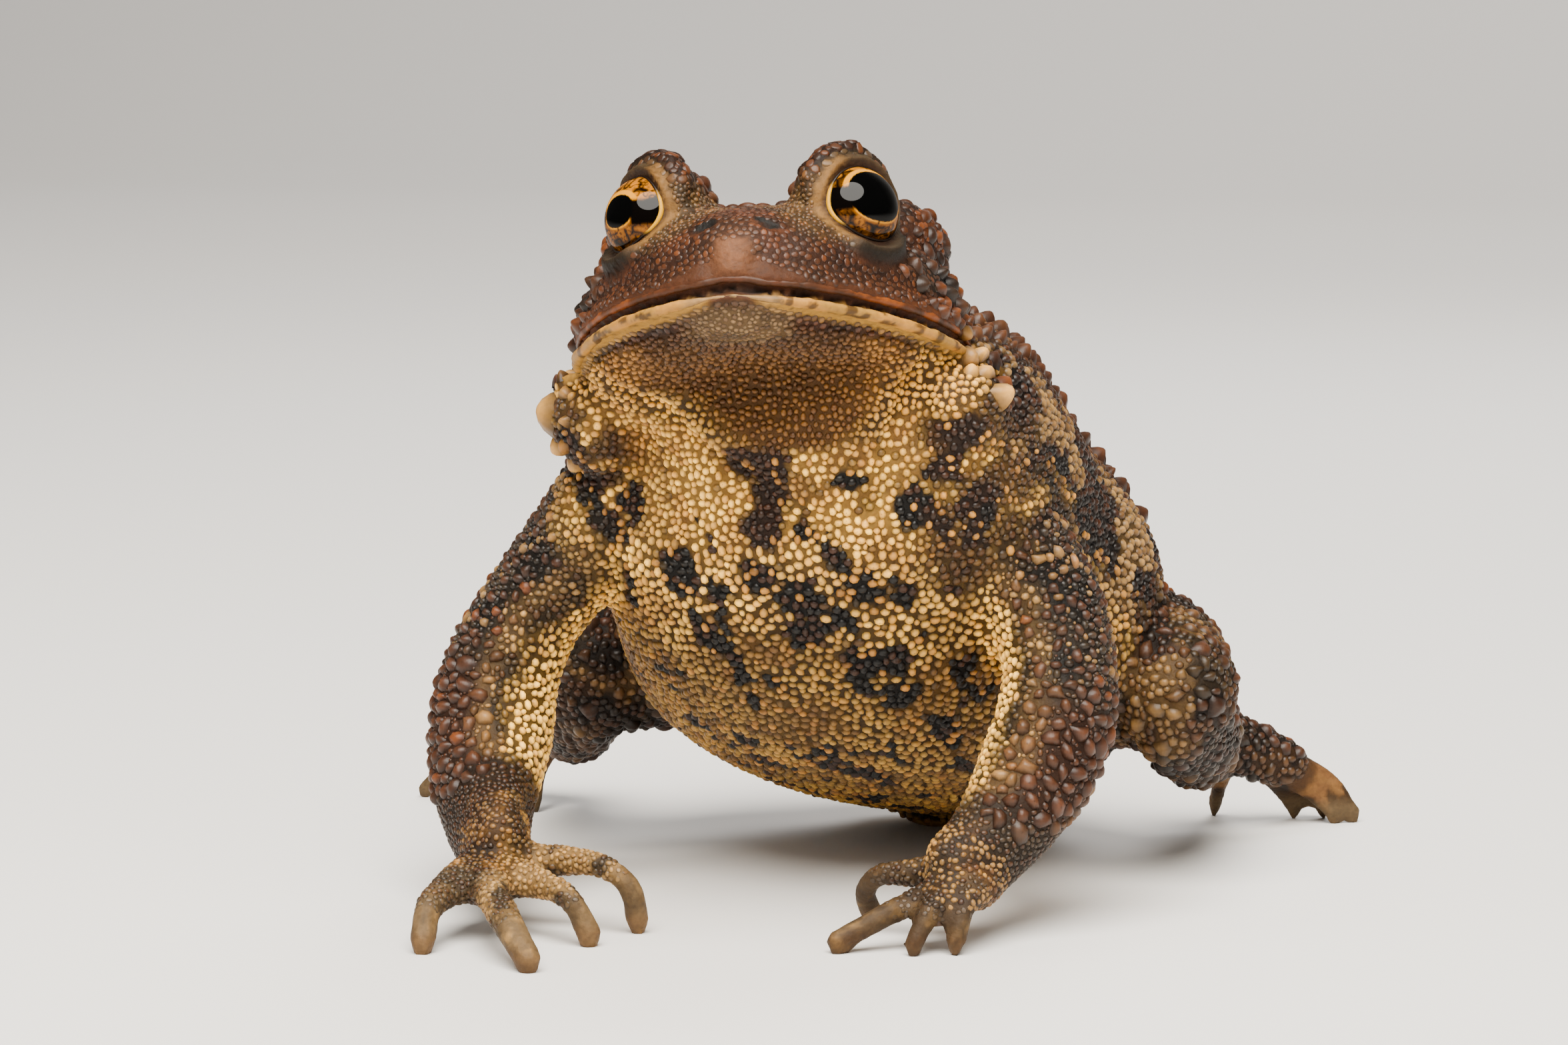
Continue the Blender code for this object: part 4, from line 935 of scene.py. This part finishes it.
def grainColors(part, radius, rng):
    # the skin's colour with strays, redder warts and pale knobs; each ring given painted shade at its foot
    # and a painted highlight toward its tip, some tips dark as pores
    count, sides = len(radius), grain["sides"]
    v, w = part.local[:, 1], part.local[:, 2]
    arm, hand, head, knob = part.arm, part.hand, part.head, part.knob
    base = skinColor(part)
    lay, dim = brushes(part.points, base)[:2]
    pale = ramp(base[:, 1], 0.1, 0.3)
    rough = np.maximum(arm, 1.0 * (part.under < -0.1))
    large = ramp(radius, 0.48, 0.56) * (1 - pale) * (1 - knob) * rough * (1 - hand)
    large = large * (1 - 0.7 * head * (v > 15))
    lay("wart", large * (0.35 + 0.45 * rng.random(count)) * (1 - 0.5 * head))
    lay("creamPale", knob * 0.85)
    dim(0.12 * knob)
    stray = rng.random(count)
    lay("creamDeep", (1 - pale) * (part.under > 0) * part.trunk * (stray < 0.14) * 0.8)
    lay("umber", pale * (stray > 0.95) * 0.8)
    lay("creamDeep", pale * (1 - knob) * (rng.random(count) < 0.32) * 0.55)
    lay("flankCream", arm * (1 - pale) * ramp(part.along, 0.52, 0.4) * (stray < 0.16) * 0.4)
    knuckle = hand * ramp(part.along, 0.9, 0.96) * (layered(part.points, 3, 41) > 0.44)
    lay("creamPale", knuckle * (stray < 0.7) * np.where(part.points[:, 0] > 0, 0.28, 0.1))
    lay("brown", (1 - pale) * (rng.random(count) < 0.35) * 0.5)
    lay("orange", large * (rng.random(count) < 0.07) * 0.25)
    scale = head * (w > 1) * ((v < 14) | (w > 7.5) & (v < 20))
    lay("orange", scale * (rng.random(count) < 0.2) * 0.12)
    lay("umber", scale * (rng.random(count) < 0.25) * 0.4)
    base *= rng.uniform(0.74, 1.22, (count, 1))
    # painted shade at each granule's foot and painted highlight toward its top, weaker on the head's scales
    ringShadeAndHighlight, scaleRingShadeAndHighlight = (np.array(grain[key])[None, :, None] for key in ("ringShadeAndHighlight", "scaleRingShadeAndHighlight"))
    ringColor = base[:, None] * (ringShadeAndHighlight + (scaleRingShadeAndHighlight - ringShadeAndHighlight) * scale[:, None, None])
    pore = (((rng.random(count) < 0.45) * pale + large * (rng.random(count) < 0.5)) * 0.8)[:, None]
    # painted highlight: each tip a tenth lighter than the granule's colour, unless it is a dark pore
    tipColor = base * 1.1 * (1 - pore) + tone("umber") * pore
    return np.concatenate([np.repeat(ringColor, sides, 1), tipColor[:, None]], 1)


def layGrainMap(piece, seenFromAbove):
    # each granule in its own square of a grid, as seen from above
    count = len(seenFromAbove)
    across = math.ceil(math.sqrt(count))
    square = np.stack([np.arange(count) % across, np.arange(count) // across], 1)
    spread = (square[:, None] + 0.5 + 0.42 * seenFromAbove) / across
    index = np.empty(len(piece.data.loops), np.int32)
    piece.data.loops.foreach_get("vertex_index", index)
    layer = piece.data.uv_layers.new(name="OFBake")
    layer.data.foreach_set("uv", flat(spread.reshape(-1, 2)[index]))


def buildGrains(material):
    # granules of one region in one piece, or in a few of about the same size
    part, radius, height, peak, rng = scatter(skinPoints, skinFaces, skinNormals)
    points, seenFromAbove = grainShapes(part, radius, height, peak, rng)
    colors = grainColors(part, radius, rng)
    sides = grain["sides"]
    pattern = np.vstack([bandFaces(4, sides), fanFaces(4 * sides, 3 * sides, sides)])
    regions = {
        "head": part.head > 0.5,
        "arms": (part.arm > 0.5) | (part.hand > 0.5),
        "legs": part.leg > 0.5,
        "chest": part.under > -0.3,
        "back": part.under <= -0.3,
    }
    free = np.ones(len(radius), bool)
    pieces = []
    for name, mask in regions.items():
        chosen = np.flatnonzero(mask & free)
        free[chosen] = False
        parts = max(1, math.ceil(len(chosen) / grain["pieceMost"]))
        for n, some in enumerate(np.array_split(chosen, parts)):
            faces = (pattern[None] + (np.arange(len(some)) * (4 * sides + 1))[:, None, None]).reshape(-1, 4)
            label = "grains_" + name + ("_" + str(n + 1) if parts > 1 else "")
            piece = addPiece(label, points[some].reshape(-1, 3), faces, material, colors[some].reshape(-1, 3))
            layGrainMap(piece, seenFromAbove[some])
            pieces.append(piece)
            print(label, len(some), "granules")
    print("granules ready,", len(radius), "in all")
    return pieces


# eyes

eyeLook = {
    # where each eye looks in the head's frame, and its pupil's half width and half height in degrees
    "right": {"gaze": (0.6, -0.8, 0.05), "pupil": (26, 22)},
    "left": {"gaze": (0.7, -0.66, 0.22), "pupil": (43, 37)},
    "gold": (190, 126, 12),
    "amber": (150, 92, 12),
    "copper": (104, 60, 12),
    "net": (9, 6, 3),
    "irisEdge": 66,
    "steps": ((160, 150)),
}


def lookTones(look, names):
    return [(np.array(look[name]) / 255) ** 2.2 for name in names]


def eyeBall(side, material):
    # ball turned so that its pole looks out; colour is a function of the turn round the pole and the angle
    # from it
    look = eyeLook[sideNames[side]]
    points, faces = ball((0, 0, 0), (eye["radius"],) * 3, *eyeLook["steps"])
    gaze = unit(mirrored(look["gaze"], side))
    across = unit(np.cross((0, 0, 1.0), gaze))
    angle = np.degrees(np.arccos(np.clip(points[:, 2] / eye["radius"], -1, 1)))
    turn = np.arctan2(points[:, 1], points[:, 0])
    flatX, flatY = angle * np.cos(turn), angle * np.sin(turn)
    wide, tall = look["pupil"]
    oval = (np.abs(flatX / wide) ** 2.2 + np.abs(flatY / tall) ** 2.2) ** (1 / 2.2)
    # degrees past the pupil's edge
    beyond = np.where(angle < 2, -tall, angle * (1 - 1 / np.maximum(oval, 1e-3)))
    place = np.stack([flatX, flatY, 0 * flatX], 1)
    gold, amber, copper, net = lookTones(eyeLook, ("gold", "amber", "copper", "net"))
    color = np.tile(copper, (len(points), 1))
    lay, _, patches = brushes(place, color)
    lay(amber, 0.3 + 0.6 * ramp(flatY, -8, 12))
    color *= (0.55 + 0.9 * layered(place, 3, 23))[:, None]
    # dark net: cracks, specks low down, wedges beside the pupil, the nose-side corner, the iris edge
    crack = np.maximum(bump(noise(place, 11, 21) - 0.5, 0.085), bump(noise(place, 6.5, 22) - 0.5, 0.085))
    speck = patches(3.5, 24, 0.5, 0.6) * ramp(flatY, 4, -8)
    wedge = np.abs(flatY) - 0.5 * np.maximum(np.abs(flatX) - wide, 0) - 0.25 * tall
    wedge = ramp(wedge, 3, -2) * (np.abs(flatX) > wide * 0.8)
    shut = ramp(-flatX * side, wide * 0.72, wide * 0.92) * ramp(flatY, 16, 9) * ramp(flatY, -30, -20)
    notch = bump(flatX, 1.6) * ramp(flatY, 0, -4) * ramp(beyond, 6, 3)
    irisEdge = ramp(angle, eyeLook["irisEdge"] - 12, eyeLook["irisEdge"])
    netted = np.maximum(crack, 0.75 * speck) * ramp(beyond, 2, 6)
    dark = np.maximum.reduce([netted, wedge * ramp(beyond, 1, 3), shut, irisEdge, notch])
    ringWide = 1 + 6 * ramp(flatY, 4, 16)
    bright = ramp(beyond, ringWide + 1.5, ringWide - 0.5) * (1 - wedge) * (1 - shut)
    lay(gold, bright * 0.9)
    lay(net, np.maximum(dark * (1 - bright), notch))
    color *= ramp(beyond, -0.6, 0.4)[:, None]
    outward = points @ np.stack([across, np.cross(gaze, across), gaze])
    spot = eyeCenter(side) + unit(mirrored(eye["axis"], side)) * eye["proud"]
    return addPiece("eye_ball_" + sideNames[side], fromHead(outward + spot), faces, material, color + 0.0006)


rim = {
    "thin": 0.1,
    "thick": 0.07,  # added on the nose side
    "bright": (184, 132, 2),
    "dark": (24, 15, 8),
    "step": 3,  # degrees
    "sides": 10,
}


def eyeRim(side, material):
    # closed roll where the skin meets the ball: a small circle carried round the ball at the angle where the
    # skin crosses it
    axis, across, rise = eyeFrame(side)
    center = eyeCenter(side) + axis * eye["proud"]
    away = toHead(skinPoints) - center
    far = np.linalg.norm(away, axis=1)
    edge = (np.abs(far - eye["radius"]) < 0.35) & (away @ axis > 0)
    slope = np.degrees(np.arccos((away[edge] @ axis) / far[edge]))
    around = np.degrees(np.arctan2(away[edge] @ rise, away[edge] @ across)) % 360
    turns = np.arange(0, 360, rim["step"])
    weight = bump(np.abs((around[None] - turns[:, None] + 180) % 360 - 180), 14)
    slope = (weight * slope[None]).sum(1) / weight.sum(1) - 1
    t, a = np.radians(turns), np.radians(slope)[:, None]
    radial = across * np.cos(t)[:, None] + rise * np.sin(t)[:, None]
    out, down = axis * np.cos(a) + radial * np.sin(a), axis * -np.sin(a) + radial * np.cos(a)
    nose = bump(turns - 188, 36)
    size = rim["thin"] + rim["thick"] * nose
    ring = np.radians(np.arange(0, 360, 360 / rim["sides"]))[None, :, None]
    circle = np.cos(ring) * out[:, None] + np.sin(ring) * down[:, None] * 1.3
    points = center + out[:, None] * (eye["radius"] + 0.02) + circle * size[:, None, None]
    faces = bandFaces(len(turns), rim["sides"], closed=True)
    if side > 0:
        faces = faces[:, ::-1]
    bright, dark = lookTones(rim, ("bright", "dark"))
    color = np.repeat(mix(np.tile(dark, (len(turns), 1)), bright, ramp(nose, 0.35, 0.75)), rim["sides"], 0)
    return addPiece("eye_rim_" + sideNames[side], fromHead(points.reshape(-1, 3)), faces, material, color)


# lips

lips = {
    # height over the mouth line, radius across, radius upward, how far sunk
    "lower": {"offset": -0.85, "out": 0.54, "tall": 0.46, "sink": 0.02},
    "upper": {"offset": 0.5, "out": 0.34, "tall": 0.36, "sink": 0.14},
}


def lipRoll(name, material):
    # an oval carried along the mouth from corner to corner, its path laid on the skin at a set height over
    # the mouth line
    look = lips[name]
    rows = smoothRows(head["stations"], 4)
    rows = rows[rows[:, 0] < 23.2]
    w = mouthHeight(rows[:, 1]) + look["offset"]
    depth = np.where(w > 0, rows[:, 2], rows[:, 3])
    up = np.clip(np.abs(w) / depth, 0, 0.95) ** (1 / head["upward"])
    u = rows[:, 1] * np.sqrt(1 - up ** 2) ** head["across"]
    half = np.stack([u, rows[:, 0], mouthHeight(u) + look["offset"]], 1)
    across = np.array([-2.2, -1.1, 0, 1.1, 2.2])
    front = np.stack([across, 0 * across - 0.9, mouthHeight(across) + look["offset"]], 1)
    path = fromHead(np.vstack([half[::-1] * (-1, 1, 1), front, half]))
    nearest = [np.linalg.norm(skinPoints - spot, axis=1).argmin() for spot in path]
    out = skinNormals[nearest]
    path = path - out * ((path - skinPoints[nearest]) * out).sum(1)[:, None]
    for _ in range(3):
        for values in (path, out):
            values[1:-1] = 0.5 * values[1:-1] + 0.25 * (values[:-2] + values[2:])
    path -= out * look["sink"]
    taper = 0.35 + 0.65 * ramp(1 - np.abs(np.linspace(-1, 1, len(path))), 0, 0.16)
    if name == "lower":
        taper *= 1 - 0.75 * bump(toHead(path)[:, 0], 3)
    rows = np.column_stack([path, look["out"] * taper, look["tall"] * taper])
    points, faces = limb(rows, up=tuple(headTurn @ np.array([0, 0, 1.0])), sides=16)
    points += vertexNormals(points, faces) * (0.26 * (layered(points, 1, 51) - 0.5))[:, None]
    side = np.abs(toHead(points)[:, 0])
    color = np.tile(tone("lipCream" if name == "lower" else "brown"), (len(points), 1))
    lay, _, patches = brushes(points, color)
    if name == "lower":
        middle = ramp(side, 5, 3.2)
        lay("creamDeep", patches(2.4, 52, 0.4, 0.6) * 0.6)
        lay("umber", patches(0.9, 53, 0.54, 0.64) * 0.8)
        lay("taupe", middle * 0.85)
        lay("umber", middle * patches(1.1, 65, 0.46, 0.6) * 0.55)
    else:
        lay("redBrown", patches(1.6, 54, 0.45, 0.6) * 0.5)
        lay("orange", ramp(side, 6, 12) * patches(2.6, 55, 0.45, 0.6) * 0.5)
        lay("umber", patches(1.2, 56, 0.55, 0.66) * 0.6)
    return addPiece("lip_" + name, points, faces, material, color)


# materials

finishes = {
    # roughness, specular, coat, its roughness, grain scale and depth, light under the skin, change of tone
    "toadSkin": (0.62, 0.16, 0, 0.35, 2200, 0.00022, 0.1, 0.2),
    "toadGranules": (0.46, 0.26, 0.06, 0.3, 2600, 0.00007, 0.1, 0.12),
    "toadEye": (0.4, 0, 0.26, 0.04, 900, 0, 0, 0.05),
    "toadLips": (0.52, 0.2, 0.04, 0.25, 1800, 0.0001, 0.12, 0.16),
    "toadEyeRim": (0.45, 0.2, 0.08, 0.2, 1500, 0.00003, 0.1, 0.08),
}


def setInputs(node, **values):
    # a socket's name has underscores here for its spaces
    for name, value in values.items():
        node.inputs[name.replace("_", " ")].default_value = value


def makeFinish(name):
    # painted tone, varied by fine noise that also drives the roughness and the grain
    roughness, specular, coat, coatRoughness, scale, depth, glow, vary = finishes[name]
    material = bpy.data.materials.new(name)
    material.use_nodes = True
    nodes = material.node_tree.nodes
    shader = nodes["Principled BSDF"]
    kinds = ("Attribute", "TexCoord", "TexNoise", "MapRange", "VectorMath", "MapRange", "Bump")
    paint, place, speck, spread, tint, rough, grit = (nodes.new("ShaderNode" + kind) for kind in kinds)
    setInputs(shader, Coat_Weight=coat, Coat_Roughness=coatRoughness, Specular_IOR_Level=specular,
              Subsurface_Weight=glow, Subsurface_Radius=(1, 0.45, 0.25), Subsurface_Scale=0.0008)
    paint.attribute_name = "paint"
    tint.operation = "SCALE"
    setInputs(speck, Scale=scale, Detail=6)
    setInputs(spread, To_Min=1 - vary, To_Max=1 + vary, From_Min=0.3, From_Max=0.7)
    setInputs(rough, To_Min=roughness - 0.08, To_Max=roughness + 0.08)
    setInputs(grit, Distance=depth, Strength=0.6)
    for source, output, target, entry in (
            (place, "Object", speck, "Vector"), (speck, "Fac", spread, "Value"), (paint, "Color", tint, 0),
            (spread, "Result", tint, "Scale"), (tint, "Vector", shader, "Base Color"),
            (speck, "Fac", rough, "Value"), (rough, "Result", shader, "Roughness"),
            (speck, "Fac", grit, "Height"), (grit, "Normal", shader, "Normal")):
        material.node_tree.links.new(source.outputs[output], target.inputs[entry])
    return material


def paintSkin():
    # the skin's colours with painted shade between the granules; less of it, and paler skin there, on the
    # upper chest, lit from above, and on the chin pad
    place = readPlace(skinPoints, skinNormals)
    paint = skinColor(place)
    shadedGaps = 1.0 * (grainSize(place, np.full(len(skinPoints), 0.5))[0] > 0.05)
    # painted light: the upper chest, lit from above, gets paler skin between its granules and less painted
    # shade, and so does the chin pad
    light = place.trunk * ramp(place.under, 0, 0.3) * ramp(skinPoints[:, 2], 30, 38)
    light = np.maximum(light, place.head * ramp(ovalAway(place.local, *face["chin"]), 2, 1.4))
    paint = mix(paint, "creamDeep", light * ramp(paint[:, 1], 0.08, 0.2) * 0.5)
    shadedGaps *= (1 - 0.3 * light) * (1 - 0.6 * place.finger)
    # painted shade: the skin where granules stand is darkened toward the painted shade tone, less on the
    # fingers
    return mix(paint, "gapShade", shadedGaps * ramp(paint[:, 1], 0.06, 0.18) * 0.85) * (1 - 0.6 * shadedGaps)[:, None]


skin = addPiece("skin", skinPoints, skinFaces, makeFinish("toadSkin"), paintSkin())
fleshNodes = [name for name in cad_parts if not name.startswith("eye")]
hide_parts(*fleshNodes)
for piece in buildGrains(makeFinish("toadGranules")):
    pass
eyeFinish, rimFinish = makeFinish("toadEye"), makeFinish("toadEyeRim")
for side, label in sideNames.items():
    eyePiece = eyeBall(side, eyeFinish)
    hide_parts("eye_" + label)
    eyeRim(side, rimFinish)
lipFinish = makeFinish("toadLips")
for name in lips:
    lipRoll(name, lipFinish)
print("eyes and lips ready")


# floor, light and camera

studio = {
    "floor": (0.72, 0.7, 0.67, 1),
    "sky": 0.11,
    "skyTone": (1, 0.98, 0.96, 1),
    "camera": {"place": (0.136837, -0.442237, 0.088), "turn": (83.3, 0, 17), "lens": 115.2},
    "lamps": (  # place, aimed at, size, power, colour, shows in the gloss
        ((0.07, -0.32, 0.54), (0, -0.01, 0.04), 0.56, 16.5, (1, 0.95, 0.87), True),
        ((0.25, -0.6, 0.12), (0, 0, 0.04), 0.3, 0.35, (1, 0.95, 0.88), False),
        ((0.5, -0.2, 0.3), (0, 0, 0.03), 0.35, 0.8, (1, 0.95, 0.88), False),
        ((-0.45, -0.25, 0.3), (0, 0, 0.03), 0.35, 0.8, (1, 0.96, 0.9), False),
        ((0.05, 0.5, 0.45), (0, 0, 0.04), 0.4, 2, (0.95, 0.97, 1), False),
        ((0, 0.7, 1.3), (0, 1.8, 0.3), 0.9, 26, (1, 0.97, 0.94), False)),
}


def buildFloor():
    # floor and backdrop in one, in metres: a flat run that bends up behind through a quarter circle, carried
    # sideways
    arc = np.linspace(0, math.pi / 2, 17)
    bend = np.stack([1.2 + np.sin(arc), 1 - np.cos(arc)], 1)
    profile = np.vstack([[(-2, 0)], bend, [(2.2, 3)]])
    points = np.concatenate([np.column_stack([np.full(len(profile), x), profile]) for x in (-4, 4)])
    i, n = np.arange(len(profile) - 1), len(profile)
    material = bpy.data.materials.new("paleFloor")
    material.use_nodes = True
    shader = material.node_tree.nodes["Principled BSDF"]
    setInputs(shader, Base_Color=studio["floor"], Roughness=0.8)
    floor = addObject("floor", makeMesh("floor", points, np.stack([i, i + n, i + n + 1, i + 1], 1)))
    floor.data.materials.append(material)


def buildLight():
    world = bpy.data.worlds.new("softLight")
    world.use_nodes = True
    setInputs(world.node_tree.nodes["Background"], Color=studio["skyTone"], Strength=studio["sky"])
    bpy.context.scene.world = world
    for n, (where, aim, size, power, color, gloss) in enumerate(studio["lamps"]):
        light = bpy.data.lights.new("lamp_" + str(n), "AREA")
        light.shape = "DISK"
        light.size, light.energy, light.color = size, power, color
        lamp = addObject("lamp_" + str(n), light)
        lamp.location = where
        lamp.visible_glossy = gloss
        lamp.rotation_euler = (Vector(where) - Vector(aim)).to_track_quat("Z", "Y").to_euler()


def buildCamera():
    look = studio["camera"]
    lens = bpy.data.cameras.new("camera")
    lens.lens = look["lens"]
    lens.sensor_width = 36
    lens.clip_start = 0.01
    viewer = addObject("camera", lens)
    viewer.location = look["place"]
    viewer.rotation_euler = [math.radians(a) for a in look["turn"]]
    bpy.context.scene.camera = viewer


buildFloor()
buildLight()
buildCamera()
bpy.context.view_layer.update()
print("floor, light and camera ready")
